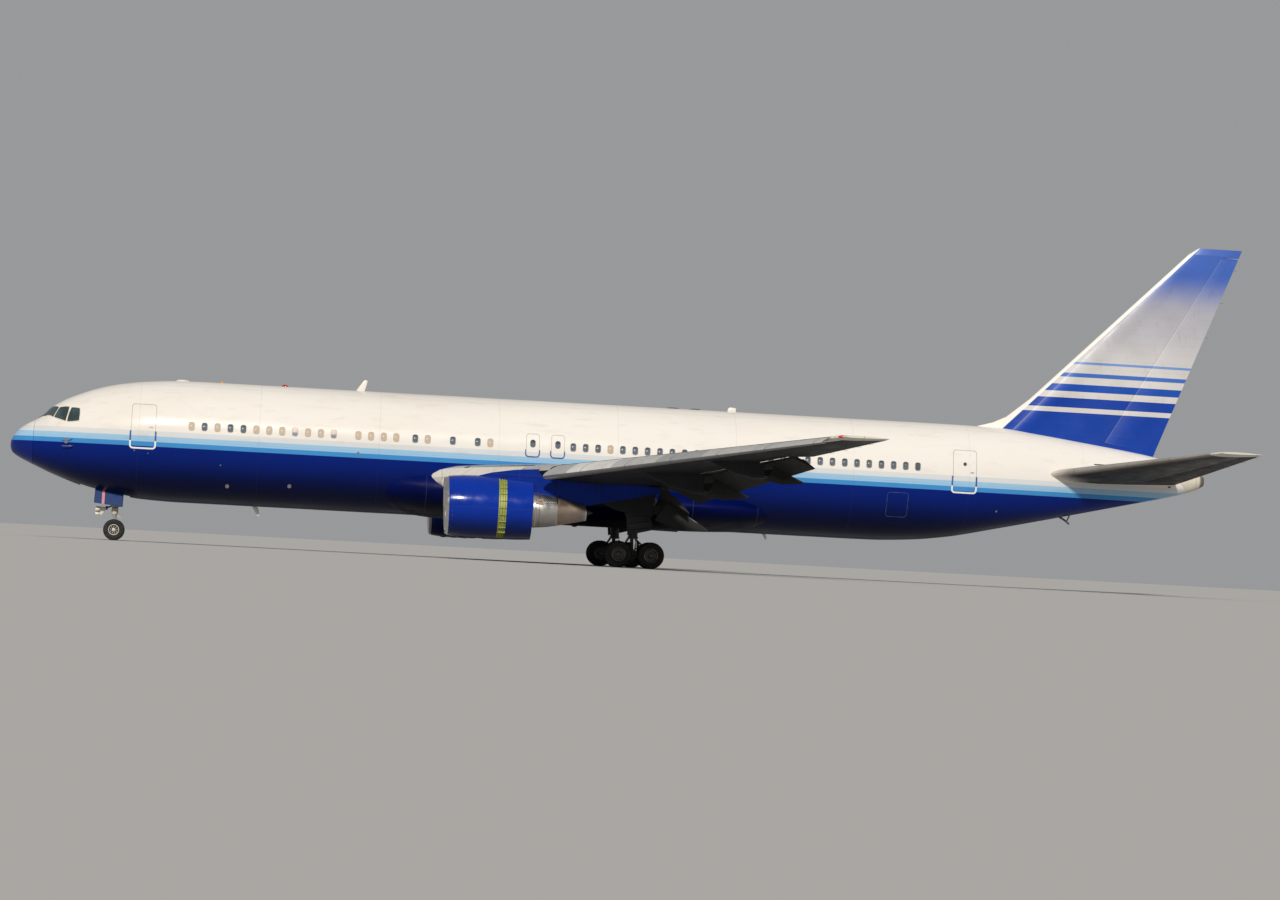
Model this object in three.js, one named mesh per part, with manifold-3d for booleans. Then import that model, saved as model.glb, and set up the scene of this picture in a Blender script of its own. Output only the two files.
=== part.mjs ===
// A wide body twin jet airliner with a low swept wing, standing on its wheels with its flaps and slats out
// and its reverser sleeves slid back, as an assembly of named pieces, as a half size model.
// Sizes are the full size aircraft's, in millimetres; the outermost group brings them to half size.
// Stations run aft from the tip of the nose along +X, +Z is up from the ground, and port is -Y.
import * as THREE from "three";
import Module from "manifold-3d";
import { mergeVertices } from "three/addons/utils/BufferGeometryUtils.js";

const wasm = await Module();
wasm.setup();

// Driving dimensions
const MODEL_SCALE = 0.5;
const OVERALL_LENGTH = 54940;
const HALF_SPAN = 23785;
const SEAT_GAP = 0.8; // between pieces that are fixed together, 0.4 mm at half size
const RUNNING_GAP = 12; // between pieces that move past each other, 6 mm at half size
const PIN_GAP = 0.7; // round a pin in its bore

const BODY_SIDES = 32;
const RADOME_JOINT = 1030;
const TAIL_CONE_JOINT = 52350;

const WING_ROOT_LEAD_X = 16790; // leading edge carried in to the centre line
const WING_KINK_Y = 8500; // where the straight inner trailing edge meets the swept outer one
const WING_KINK_LEAD_X = 23200;
const WING_TIP_LEAD_X = 33740;
const INNER_TRAIL_X = 29420;
const WING_TIP_CHORD = 2060;

const ENGINE_Y = 7920;
const ENGINE_LIP_X = 18965;
const ENGINE_AXIS_Z = 2290;

const MAIN_GEAR_X = 27500;
const MAIN_GEAR_Y = 4650;
const MAIN_AXLE_HALF_SPACING = 710;
const MAIN_TYRE_R = 584;
const MAIN_TYRE_W = 457;
const MAIN_TWIN_HALF_SPACING = 570;
const MAIN_AXLE_R = 80;

const NOSE_GEAR_X = 4750;
const NOSE_TYRE_R = 470;
const NOSE_TYRE_W = 350;
const NOSE_TWIN_HALF_SPACING = 305;
const NOSE_AXLE_R = 50;
const WHEEL_SIDES = 16;
const PIN_SIDES = 10;

// Finishes
const finish = (color, roughness, metalness) => new THREE.MeshStandardMaterial({ color, roughness, metalness });
const WHITE = finish(0xf2efe9, 0.35, 0);
const BLUE = finish(0x0b2a9c, 0.3, 0);
const WING_GREY = finish(0x9ba0a6, 0.45, 0.1);
const BARE_METAL = finish(0xc9c5bd, 0.3, 1);
const HOT_METAL = finish(0x8d8070, 0.4, 1);
const CASCADE_GREEN = finish(0x8a8f3a, 0.6, 0.2);
const FAN_GREY = finish(0x55585c, 0.35, 0.9);
const GEAR_GREY = finish(0xb9bcc0, 0.4, 0.4);
const TYRE_BLACK = finish(0x1b1b1c, 0.9, 0);

// Shapes: every maker below returns a closed solid

function solid(geometry) {
  const plain = new THREE.BufferGeometry().setAttribute("position", geometry.getAttribute("position"));
  plain.setIndex(geometry.index);
  const merged = mergeVertices(plain, 1e-3);
  const all = merged.index.array;
  const kept = [];
  for (let i = 0; i < all.length; i += 3) {
    const [a, b, c] = [all[i], all[i + 1], all[i + 2]];
    if (a !== b && b !== c && a !== c) kept.push(a, b, c);
  }
  const build = (triangles) =>
    new wasm.Manifold(
      new wasm.Mesh({
        numProp: 3,
        vertProperties: merged.attributes.position.array,
        triVerts: new Uint32Array(triangles),
      }),
    );
  const made = build(kept);
  if (made.volume() > 0) return made;
  for (let i = 0; i < kept.length; i += 3) [kept[i + 1], kept[i + 2]] = [kept[i + 2], kept[i + 1]];
  return build(kept);
}

function geometryOf(made) {
  const { vertProperties, triVerts, numProp, numVert } = made.getMesh();
  const positions = new Float32Array(numVert * 3);
  for (let i = 0; i < numVert; i++) positions.set(vertProperties.subarray(i * numProp, i * numProp + 3), i * 3);
  const geometry = new THREE.BufferGeometry();
  geometry.setAttribute("position", new THREE.BufferAttribute(positions, 3));
  geometry.setIndex(new THREE.BufferAttribute(triVerts, 1));
  return geometry;
}

const join = (...all) => all.reduce((a, b) => a.add(b));
const cut = (from, ...tools) => tools.reduce((a, b) => a.subtract(b), from);

// The largest separate body of a solid, for a cut that leaves crumbs behind.
function largest(made) {
  return made.decompose().reduce((a, b) => (b.volume() > a.volume() ? b : a));
}

// A closed skin through rings of points, all with the same count, capped at both ends.
function loft(rings) {
  const count = rings[0].length;
  const index = [];
  for (let r = 0; r + 1 < rings.length; r++) {
    for (let i = 0; i < count; i++) {
      const j = (i + 1) % count;
      const [a, b, c, d] = [r * count + i, r * count + j, (r + 1) * count + j, (r + 1) * count + i];
      // the shorter diagonal, so that both sides of the aircraft come out alike
      const direct = rings[r][i].distanceTo(rings[r + 1][j]) < rings[r][j].distanceTo(rings[r + 1][i]);
      index.push(...(direct ? [a, b, c, a, c, d] : [a, b, d, b, c, d]));
    }
  }
  const cap = (ring, base, turned) => {
    const normal = new THREE.Vector3();
    ring.forEach((p, i) => normal.add(new THREE.Vector3().crossVectors(p, ring[(i + 1) % count])));
    normal.normalize();
    const across = new THREE.Vector3().subVectors(ring[1], ring[0]).normalize();
    across.addScaledVector(normal, -across.dot(normal)).normalize();
    const up = new THREE.Vector3().crossVectors(normal, across);
    const flat = ring.map((p) => new THREE.Vector2(p.dot(across), p.dot(up)));
    for (const [a, b, c] of THREE.ShapeUtils.triangulateShape(flat, []))
      index.push(...(turned ? [base + a, base + c, base + b] : [base + a, base + b, base + c]));
  };
  cap(rings[0], 0, true);
  cap(rings.at(-1), (rings.length - 1) * count, false);
  const geometry = new THREE.BufferGeometry().setFromPoints(rings.flat());
  geometry.setIndex(index);
  return solid(geometry);
}

function box(x1, x2, y1, y2, z1, z2) {
  const geometry = new THREE.BoxGeometry(x2 - x1, y2 - y1, z2 - z1);
  geometry.translate((x1 + x2) / 2, (y1 + y2) / 2, (z1 + z2) / 2);
  return solid(geometry);
}

function rod(from, to, radius, endRadius = radius, sides = 10, turn = 0) {
  const a = new THREE.Vector3(...from);
  const b = new THREE.Vector3(...to);
  const geometry = new THREE.CylinderGeometry(endRadius, radius, a.distanceTo(b), sides);
  geometry.rotateY(turn);
  geometry.applyQuaternion(
    new THREE.Quaternion().setFromUnitVectors(new THREE.Vector3(0, 1, 0), b.clone().sub(a).normalize()),
  );
  geometry.translate(...a.add(b).multiplyScalar(0.5).toArray());
  return solid(geometry);
}

// A body turned about the X axis from [x, radius] points. Ring shapes repeat their first point at the end.
function turnedAboutX(points, sides) {
  const geometry = new THREE.LatheGeometry(
    points.map(([x, r]) => new THREE.Vector2(r, x)),
    sides,
    Math.PI / sides,
  );
  return solid(geometry.rotateZ(-Math.PI / 2));
}

// A plate: an outline of [x, z] points, thick in Y from y1 to y2.
function plate(outline, y1, y2) {
  const ring = (y) => outline.map(([x, z]) => new THREE.Vector3(x, y, z));
  return loft([ring(y1), ring(y2)]);
}

// The hole a pin turns in: its flats face the pin's corners when the pin stands at the given turn.
function bore(from, to, pinR, sides, turn = 0) {
  const radius = (pinR + PIN_GAP) / Math.cos(Math.PI / sides);
  return rod(from, to, radius, radius, sides, turn + Math.PI / sides);
}

function turnedBy(made, point, direction, degrees) {
  const axis = direction.clone().normalize();
  const matrix = new THREE.Matrix4().makeTranslation(point.x, point.y, point.z);
  matrix.multiply(new THREE.Matrix4().makeRotationAxis(axis, THREE.MathUtils.degToRad(degrees)));
  matrix.multiply(new THREE.Matrix4().makeTranslation(-point.x, -point.y, -point.z));
  return made.transform(matrix.elements);
}

// Fuselage: sections from nose to tail

// columns: station, half width, top, widest level, bottom
const BODY_SECTIONS = [
  [0, 20, 4030, 4010, 3990],
  [25, 190, 4200, 4010, 3830],
  [90, 345, 4365, 4012, 3685],
  [230, 545, 4575, 4020, 3570],
  [450, 775, 4790, 4035, 3440],
  [760, 1010, 5000, 4060, 3290],
  [RADOME_JOINT, 1180, 5150, 4085, 3170],
  [1400, 1375, 5390, 4120, 3010],
  [1750, 1540, 5760, 4170, 2860],
  [2200, 1725, 6060, 4240, 2690],
  [3000, 1980, 6430, 4380, 2410],
  [3900, 2180, 6750, 4520, 2175],
  [4900, 2335, 6980, 4620, 2005],
  [6000, 2450, 7130, 4690, 1880],
  [7500, 2515, 7230, 4722, 1830],
  [9500, 2515, 7240, 4725, 1830],
  [36500, 2515, 7240, 4725, 1830],
  [38600, 2480, 7240, 4740, 1840],
  [40300, 2385, 7240, 4780, 1930],
  [42000, 2235, 7235, 4830, 2145],
  [44000, 1990, 7210, 4900, 2570],
  [46000, 1700, 7020, 4975, 3030],
  [48000, 1380, 6760, 5050, 3500],
  [50000, 1050, 6480, 5130, 3975],
  [51300, 825, 6270, 5180, 4280],
  [TAIL_CONE_JOINT, 620, 6000, 5220, 4540],
  [53000, 455, 5790, 5250, 4740],
  [53450, 320, 5600, 5260, 4930],
  [53670, 215, 5465, 5265, 5065],
];

function bodyAt(x) {
  const after = Math.max(
    1,
    BODY_SECTIONS.findIndex((row) => row[0] >= x),
  );
  const [low, high] = [BODY_SECTIONS[after - 1], BODY_SECTIONS[after]];
  const share = (x - low[0]) / (high[0] - low[0]);
  return low.map((value, i) => value + share * (high[i] - value));
}

function bodyRing(section, grow) {
  const [x, width, top, middle, bottom] = section;
  return Array.from({ length: BODY_SIDES }, (_, i) => {
    const angle = (2 * Math.PI * (i + 0.5)) / BODY_SIDES;
    const rise = Math.sin(angle) > 0 ? top - middle : middle - bottom;
    return new THREE.Vector3(x, (width + grow) * Math.cos(angle), middle + (rise + grow) * Math.sin(angle));
  });
}

function bodySolid(from, to, grow = 0) {
  const between = BODY_SECTIONS.filter(([x]) => x > from && x < to);
  const sections = [bodyAt(from), ...between, bodyAt(to)];
  return loft(sections.map((section) => bodyRing(section, grow)));
}

const bodyTool = bodySolid(0, 53670, SEAT_GAP);

// The wing to body fairing is a blister round the lower body, cut to the body's skin.
// columns: station, half width, top, widest level, bottom
const FAIRING_SECTIONS = [
  [16300, 1500, 3900, 3200, 2300],
  [17600, 2430, 4150, 3100, 1890],
  [19000, 2690, 4260, 3020, 1760],
  [21500, 2790, 4250, 2980, 1745],
  [27800, 2790, 3900, 2900, 1745],
  [30200, 2700, 3650, 2850, 1760],
  [32400, 2420, 3450, 2850, 1850],
  [34200, 1500, 3300, 2800, 2200],
];
const fairingLoft = (grow) => loft(FAIRING_SECTIONS.map((section) => bodyRing(section, grow)));
const fairingTool = fairingLoft(SEAT_GAP);

// Lifting surfaces: straight lofts between stations, each a place on the leading edge, a chord and a thickness

function surface(rows, thicknessAxis) {
  const stations = rows.map(({ s, lead, chord, twist = 0, thick }) => {
    const angle = THREE.MathUtils.degToRad(twist);
    const normal =
      thicknessAxis === "z" ? new THREE.Vector3(Math.sin(angle), 0, Math.cos(angle)) : new THREE.Vector3(0, 1, 0);
    const chordLine = new THREE.Vector3(chord * Math.cos(angle), 0, -chord * Math.sin(angle));
    return { s, lead: new THREE.Vector3(...lead), chordLine, normal, chord, thick };
  });
  const at = (s) => {
    const after = Math.max(
      1,
      stations.findIndex((row) => row.s >= s),
    );
    const [a, b] = [stations[after - 1], stations[after]];
    const share = (s - a.s) / (b.s - a.s);
    return {
      s,
      lead: a.lead.clone().lerp(b.lead, share),
      chordLine: a.chordLine.clone().lerp(b.chordLine, share),
      normal: a.normal.clone().lerp(b.normal, share).normalize(),
      chord: a.chord + share * (b.chord - a.chord),
      thick: a.thick + share * (b.thick - a.thick),
    };
  };
  return { stations, at };
}

const placeOn = (station, f, h) =>
  station.lead
    .clone()
    .addScaledVector(station.chordLine, f)
    .addScaledVector(station.normal, h * station.chord);

const CAMBER = 0.008;
const BLUNT_EDGE = 0.0022; // half thickness of a trailing edge, as a share of the chord
const halfThickness = (station, f) =>
  (station.thick / 0.2) * (0.2969 * Math.sqrt(f) - 0.126 * f - 0.3516 * f ** 2 + 0.2843 * f ** 3 - 0.1036 * f ** 4) +
  BLUNT_EDGE * f;
const camberOf = (station, f) => (station.symmetric ? 0 : 4 * CAMBER * f * (1 - f));
const upper = (station, f) => camberOf(station, f) + halfThickness(station, f);
const lower = (station, f) => camberOf(station, f) - halfThickness(station, f);

// A closed body on a surface between two stations, from an outline of [f, h] shares of the chord.
function panel(onSurface, s1, s2, outline) {
  const between = onSurface.stations.map((station) => station.s).filter((s) => s > s1 && s < s2);
  return loft(
    [s1, ...between, s2].map((s) => {
      const station = onSurface.at(s);
      return outline(station).map(([f, h]) => placeOn(station, f, h));
    }),
  );
}

const SKIN_SHARES = [1, 0.85, 0.65, 0.4, 0.2, 0.09, 0.03, 0.007];

const skinOutline =
  (grow = 0) =>
  (station) => {
    const more = grow / station.chord;
    return [
      ...SKIN_SHARES.map((f) => [f + (f === 1 ? more : 0), upper(station, f) + more]),
      [-more, camberOf(station, 0)],
      ...SKIN_SHARES.toReversed().map((f) => [f + (f === 1 ? more : 0), lower(station, f) - more]),
    ];
  };

const arc = (f, h, radius, from, to, steps, stretch = 1) =>
  Array.from({ length: steps + 1 }, (_, i) => {
    const angle = THREE.MathUtils.degToRad(from + ((to - from) * i) / steps);
    return [f + radius * stretch * Math.cos(angle), h + radius * Math.sin(angle)];
  });

// A control surface with a round nose about its hinge, which stands at share f of the chord.
// Its nose is round across the swept hinge line, so longer in a streamwise section.
const NOSE_STEPS = 6;
const controlOutline = (hingeAt, stretch) => (station) => {
  const f = hingeAt(station);
  const radius = halfThickness(station, f) * 0.985;
  return [
    [1, upper(station, 1)],
    [(1 + f) / 2, upper(station, (1 + f) / 2)],
    ...arc(f, camberOf(station, f), radius, 90, 270, NOSE_STEPS, stretch),
    [(1 + f) / 2, lower(station, (1 + f) / 2)],
    [1, lower(station, 1)],
  ];
};

const FAR_AFT = 1.3;
const FAR_OUT = 0.5;
const LIP_BACK = 18; // degrees by which the fixed lips stop short of the hinge

const controlBay = (hingeAt, stretch) => (station) => {
  const f = hingeAt(station);
  const flats = Math.cos(THREE.MathUtils.degToRad((90 - LIP_BACK) / NOSE_STEPS));
  const radius = (halfThickness(station, f) + (RUNNING_GAP + 1) / station.chord) / flats;
  const round = arc(f, camberOf(station, f), radius, 90 + LIP_BACK, 270 - LIP_BACK, NOSE_STEPS, stretch);
  const lip = round[0][0];
  return [[FAR_AFT, FAR_OUT], [lip, FAR_OUT], ...round, [lip, -FAR_OUT], [FAR_AFT, -FAR_OUT]];
};

const hingePoint = (onSurface, s, hingeAt) => {
  const station = onSurface.at(s);
  const f = hingeAt(station);
  return placeOn(station, f, camberOf(station, f));
};

// Cuts a panel off at both ends of its hinge line, square to the skin; its inner end may slope, by slope per length.
// A moving one keeps its gaps: its outer end leans in by as much as the swept hinge carries it outward
// at full travel, and both ends stand off by as much as its nose, noseR thick, moves along.
function squareEnds(solid, [a, b], { gap = 0, travel = 0, noseR = 0, slope = 0 } = {}) {
  const along = b.clone().sub(a).normalize();
  const sweep = Math.abs(along.x);
  const across = along.clone().setX(0).normalize();
  const turn = THREE.MathUtils.degToRad(travel);
  const lean = sweep * Math.sqrt(1 - sweep ** 2) * (1 - Math.cos(turn)) * 1.25;
  const inner = across.clone().setX(slope).normalize();
  const outer = across.clone().negate().setX(-lean).normalize();
  const drift = (face) => Math.sqrt(1 - along.dot(face) ** 2) * noseR * Math.sin(turn);
  return solid
    .trimByPlane(inner.toArray(), inner.dot(a) + gap + drift(inner))
    .trimByPlane(outer.toArray(), outer.dot(b) + gap + drift(outer));
}

const END_SPARE = 60;

// A hinged control: the moving solid with a pin at each end, the tool that opens its bay, and its hinge line.
function makeControl({ on, s1, s2, hingeAt, pinR, travel, slope = 0 }) {
  const line = [hingePoint(on, s1, hingeAt), hingePoint(on, s2, hingeAt)];
  const stretch = 1 / Math.sqrt(1 - line[1].clone().sub(line[0]).normalize().x ** 2);
  const spare = END_SPARE + slope * on.at(s1).chord * 0.4;
  const whole = (outline) => panel(on, s1 - spare, s2 + END_SPARE, outline(hingeAt, stretch));
  const root = on.at(s1);
  const noseR = halfThickness(root, hingeAt(root)) * root.chord;
  const moving = squareEnds(whole(controlOutline), line, { gap: RUNNING_GAP, travel, noseR, slope });
  const bay = squareEnds(whole(controlBay), line, { slope });
  return { ...withPins(moving, bay, ...line, pinR), hinge: line };
}

const PIN_LENGTH = 90;

function withPins(moving, bay, a, b, pinR) {
  const along = b.clone().sub(a).normalize();
  const reach = (from, length) => from.clone().addScaledVector(along, length).toArray();
  const pins = rod(reach(a, -PIN_LENGTH), reach(b, PIN_LENGTH), pinR, pinR, PIN_SIDES);
  const bores = bore(reach(a, -PIN_LENGTH - 8), reach(b, PIN_LENGTH + 8), pinR, PIN_SIDES);
  return { moving: join(moving, pins), bay: join(bay, bores) };
}

// Wing

const outerShare = (y) => (y - WING_KINK_Y) / (HALF_SPAN - WING_KINK_Y);
const wingLead = (y) =>
  y > WING_KINK_Y
    ? WING_KINK_LEAD_X + (WING_TIP_LEAD_X - WING_KINK_LEAD_X) * outerShare(y)
    : WING_ROOT_LEAD_X + ((WING_KINK_LEAD_X - WING_ROOT_LEAD_X) * y) / WING_KINK_Y;
const wingTrail = (y) => INNER_TRAIL_X + (WING_TIP_LEAD_X + WING_TIP_CHORD - INNER_TRAIL_X) * Math.max(0, outerShare(y));

const WING_TIP_START = 23350;
// columns: span position, leading edge height, twist in degrees, thickness share
const WING_ROWS = [
  [1200, 3430, 4.2, 0.15],
  [WING_KINK_Y, 4000, 2.2, 0.118],
  [WING_TIP_START, 5650, 0, 0.103],
];
const wingStations = WING_ROWS.map(([y, z, twist, thick]) => ({
  s: y,
  lead: [wingLead(y), y, z],
  chord: wingTrail(y) - wingLead(y),
  twist,
  thick,
}));
const TIP_LEAD = [WING_TIP_LEAD_X + 240, HALF_SPAN, 5715];
wingStations.push({ s: HALF_SPAN, lead: TIP_LEAD, chord: WING_TIP_CHORD - 300, twist: 0, thick: 0.05 });
const wing = surface(wingStations, "z");
const atX = (x) => (station) => (x - station.lead.x) / station.chordLine.x;
const share = (f) => () => f;
const between = (s1, f1, s2, f2) => (station) => f1 + ((f2 - f1) * (station.s - s1)) / (s2 - s1);

// Trailing edge zones. spoilerAt, lipAt and spoilerEndAt are where the spoilers begin,
// where the lower skin stops, and where the spoilers end, as shares of the chord.
const FLAP_ZONES = {
  inboard: {
    s1: 2950,
    s2: 7030,
    flapFrom: 2990,
    flapTo: 6920,
    spoilerAt: atX(26950),
    lipAt: atX(27780),
    spoilerEndAt: atX(28460),
    drop: 760,
    down: 36,
    armsAt: [6080],
    coneLength: 2050,
  },
  outboard: {
    s1: 8690,
    s2: 18150,
    flapFrom: 8980,
    flapTo: 18110,
    spoilerAt: share(0.645),
    lipAt: share(0.7),
    spoilerEndAt: share(0.82),
    drop: 620,
    down: 32,
    armsAt: [12100, 16200],
    coneLength: 1900,
  },
};
const FAIRING_DROP = 40; // from the lower skin to the top of what the flap swings over
const SPOILER_LEAD_THICK = 90;
const SPOILER_TAIL_THICK = 22;
const SPOILERS_UP = 60;

// The cove that the stowed flap and the spoilers fill. Its floor is open for the wing's cut,
// and is the lower skin for what hangs below it.
const flapBay = (zone, floored = false) => (station) => {
  const fs = zone.spoilerAt(station) - (RUNNING_GAP + 4) / station.chord;
  const lip = zone.lipAt(station);
  const deep = upper(station, fs) - (SPOILER_LEAD_THICK + 30) / station.chord;
  return [
    [FAR_AFT, FAR_OUT],
    [fs, FAR_OUT],
    [fs, deep],
    [(fs + lip) / 2, (deep * 0.7 + lower(station, lip) * 0.3)],
    [lip, lower(station, lip) + 40 / station.chord],
    ...(floored ? [lip, (lip + 1) / 2, 1].map((f) => [f, lower(station, f) - FAIRING_DROP / station.chord]) : []),
    floored ? [FAR_AFT, lower(station, 1)] : [lip, -FAR_OUT],
    ...(floored ? [] : [[FAR_AFT, -FAR_OUT]]),
  ];
};

const spoilerOutline = (zone) => (station) => {
  const f1 = zone.spoilerAt(station);
  const f2 = zone.spoilerEndAt(station);
  const lead = SPOILER_LEAD_THICK / station.chord;
  const tail = SPOILER_TAIL_THICK / station.chord;
  const middle = (f1 + f2) / 2;
  return [
    [f2, upper(station, f2)],
    [middle, upper(station, middle)],
    ...arc(f1 + lead / 2, upper(station, f1 + lead / 2) - lead / 2, lead / 2, 90, 270, 4),
    [f2, upper(station, f2) - tail],
  ];
};

const spoilerHinge = (zone, s) => {
  const station = wing.at(s);
  const lead = SPOILER_LEAD_THICK / station.chord;
  const f1 = zone.spoilerAt(station) + lead / 2;
  return placeOn(station, f1, upper(station, f1) - lead / 2);
};

// The flap stowed: its nose in the cove, its back under the spoilers, its tail the wing's own trailing edge.
const flapOutline = (zone) => (station) => {
  const mm = 1 / station.chord;
  const nose = zone.lipAt(station) + FLAP_NOSE_GAP * mm;
  const step = zone.spoilerEndAt(station) + (RUNNING_GAP + 6) * mm;
  const under = (f, extra) => upper(station, f) - (SPOILER_TAIL_THICK + RUNNING_GAP + extra) * mm;
  const low = lower(station, nose);
  const high = under(nose + 90 * mm, 60);
  return [
    [1, upper(station, 1)],
    [(1 + step) / 2, upper(station, (1 + step) / 2)],
    [step, upper(station, step)],
    [step, under(step, 8)],
    [(nose + 90 * mm + step) / 2, under((nose + 90 * mm + step) / 2, 40)],
    [nose + 90 * mm, high],
    [nose + 20 * mm, high * 0.75 + low * 0.25],
    [nose, high * 0.45 + low * 0.55],
    [nose + 25 * mm, high * 0.12 + low * 0.88],
    [nose + 120 * mm, lower(station, nose + 120 * mm)],
    [(nose + 1) / 2, lower(station, (nose + 1) / 2)],
    [1, lower(station, 1)],
  ];
};

// A flap turns on pins below the wing, inside the fairings of its supports.
const FLAP_PIN_R = 45;
const FAIRING_HALF_W = 190;
const ARM_HALF_W = 45;
const SLOT_HALF_W = 140; // the arm swings on a swept pin, so it moves sideways in its slot

const FLAP_NOSE_GAP = 70; // from the lower lip of the cove to the stowed flap's nose
const HINGE_BEHIND_NOSE = 100;

function flapHingeAt(zone, s) {
  const station = wing.at(s);
  const f = zone.lipAt(station) + (FLAP_NOSE_GAP + HINGE_BEHIND_NOSE) / station.chord;
  const point = placeOn(station, f, lower(station, f));
  point.z -= (zone.drop * station.chord) / wing.at(zone.armsAt[0]).chord;
  return point;
}

function flapHingeLine(zone) {
  return [flapHingeAt(zone, zone.s1), flapHingeAt(zone, zone.s2)];
}

const onLine = ([a, b], y) => a.clone().lerp(b, (y - a.y) / (b.y - a.y));

// The front half of a flap support fairing: a canoe under the wing that ends in two cheeks round the arm.
function supportFairing(line, y, size) {
  const pin = onLine(line, y);
  const station = wing.at(y);
  const skinAt = (x) => placeOn(station, atX(x)(station), lower(station, atX(x)(station))).z;
  const start = pin.x - 2350 * size;
  // columns: distance ahead of the pin, half width share, depth share
  const rows = [
    [start, 0.1, 0.05],
    [pin.x - 2000 * size, 0.5, 0.3],
    [pin.x - 1200 * size, 0.85, 0.7],
    [pin.x - 400 * size, 1, 0.95],
    [pin.x + 130 * size, 1, 1],
  ];
  const depth = skinAt(pin.x) - pin.z + 210 * size;
  const rings = rows.map(([x, wide, deep]) => {
    const top = skinAt(Math.min(x, pin.x - 300)) + 120;
    const bottom = skinAt(x) - depth * deep;
    const w = FAIRING_HALF_W * size * wide;
    const level = bottom + Math.min(130 * size, (top - bottom) * 0.5);
    return [
      [-w, top],
      [-w, level],
      [-w * 0.6, bottom + 20],
      [0, bottom],
      [w * 0.6, bottom + 20],
      [w, level],
      [w, top],
    ].map(([dy, z]) => new THREE.Vector3(x, y + dy, z));
  });
  const w = SLOT_HALF_W * size;
  const slot = box(pin.x - 200 * size, pin.x + 900, y - w, y + w, pin.z - 130 * size, pin.z + 1500);
  return { canoe: loft(rings), slot, pin };
}

// The rear half, carried by the flap: an arm from the pin and a cone that trails behind the flap.
function supportArm(line, y, size, length, down) {
  const pin = onLine(line, y);
  const along = line[1].clone().sub(line[0]).normalize();
  const station = wing.at(y);
  const skinAt = (x) => placeOn(station, atX(x)(station), lower(station, atX(x)(station))).z;
  const trail = pin.x + length * size;
  const front = pin.x + 350 * size;
  // columns: station, half width share, bottom level
  const rows = [
    [front, 0.94, pin.z - 120 * size],
    [pin.x + length * 0.55 * size, 0.7, pin.z + 60 * size],
    [trail, 0.08, skinAt(trail) - 60 * size],
  ];
  const rings = rows.map(([x, wide, bottom]) => {
    const w = FAIRING_HALF_W * size * wide;
    const top = Math.max(skinAt(x) + 25, bottom + 50);
    return [
      [-w, top],
      [-w, bottom + (top - bottom) * 0.35],
      [0, bottom],
      [w, bottom + (top - bottom) * 0.35],
      [w, top],
    ].map(([dy, z]) => new THREE.Vector3(x, y + dy, z));
  });
  const w = ARM_HALF_W * size;
  const arm = plate(
    [
      [pin.x - 90 * size, pin.z - 60 * size],
      [pin.x - 90 * size, pin.z + 70 * size],
      [pin.x + 80 * size, pin.z + 330 * size],
      [front + 300 * size, skinAt(front + 300 * size) + 40],
      [front + 300 * size, pin.z + 160 * size],
    ],
    y - w,
    y + w,
  );
  const reach = FAIRING_HALF_W * size - 20;
  const ends = [-1, 1].map((side) => pin.clone().addScaledVector(along, side * reach).toArray());
  const axle = rod(ends[0], ends[1], FLAP_PIN_R * size, FLAP_PIN_R * size, PIN_SIDES);
  const holeEnds = [-1, 1].map((side) => pin.clone().addScaledVector(along, side * (reach + 12)).toArray());
  const turn = THREE.MathUtils.degToRad(down);
  const hole = bore(holeEnds[0], holeEnds[1], FLAP_PIN_R * size, PIN_SIDES, turn);
  return { moving: join(loft(rings), arm, axle), hole };
}

// Slats: the wing's nose, slid forward and down on curved tracks

const SLAT_ZONES = {
  inboard: { s1: 3350, s2: 7200, end: 6960, depth: between(3350, 0.085, 6960, 0.108), tracksAt: [4100, 6200] },
  outboard: { s1: 8700, s2: 23280, end: 23060, depth: between(8700, 0.122, 23280, 0.19), tracksAt: [10200, 15800, 21400] },
};
const SLAT_DOWN = 24;
const SLAT_HEEL = 0.34; // how far back the slat's lower edge lies, as a share of its depth
const slatHollow = (station) => Math.min(60 / station.chord, 0.02); // how thick the slat is where it's hollow

function slatOutline(zone) {
  return (station) => {
    const d = zone.depth(station);
    const outer = [1, 0.66, 0.4, 0.2, 0.08, 0.02].map((k) => [d * k, upper(station, d * k)]);
    const under = [0.02, 0.1, SLAT_HEEL].map((k) => [d * k, lower(station, d * k)]);
    const back = [
      [d * 0.36, lower(station, d * 0.36) + 14 / station.chord],
      [d * 0.3, camberOf(station, 0.05) - halfThickness(station, d * 0.3) * 0.45],
      [d * 0.31, camberOf(station, 0.05) + halfThickness(station, d * 0.3) * 0.25],
      [d * 0.6, upper(station, d * 0.6) - slatHollow(station)],
      [d, upper(station, d) - 14 / station.chord],
    ];
    return [...outer, [0, camberOf(station, 0)], ...under, ...back];
  };
}

// What the stowed slat takes from the wing's nose, with its running gap.
function slatBay(zone) {
  return (station) => {
    const d = zone.depth(station);
    const g = RUNNING_GAP / station.chord;
    return [
      [d + g, FAR_OUT],
      [d + g, upper(station, d) - 14 / station.chord - g],
      [d * 0.62 + g, upper(station, d * 0.6) - slatHollow(station) - g * 1.4],
      [d * 0.34 + g, camberOf(station, 0.05)],
      [d * 0.33 + g, camberOf(station, 0.05) - halfThickness(station, d * 0.3) * 0.45],
      [d * 0.38 + g, lower(station, d * 0.36) + g],
      [d * 0.38 + g, -FAR_OUT],
      [-0.3, -FAR_OUT],
      [-0.3, FAR_OUT],
    ];
  };
}

function slatHingeAt(zone, s) {
  const station = wing.at(s);
  const d = zone.depth(station);
  return placeOn(station, d * 1.0, -d * 1.35);
}

const TRACK_HALF_W = 34;
const TRACK_DEPTH = 46;

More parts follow.
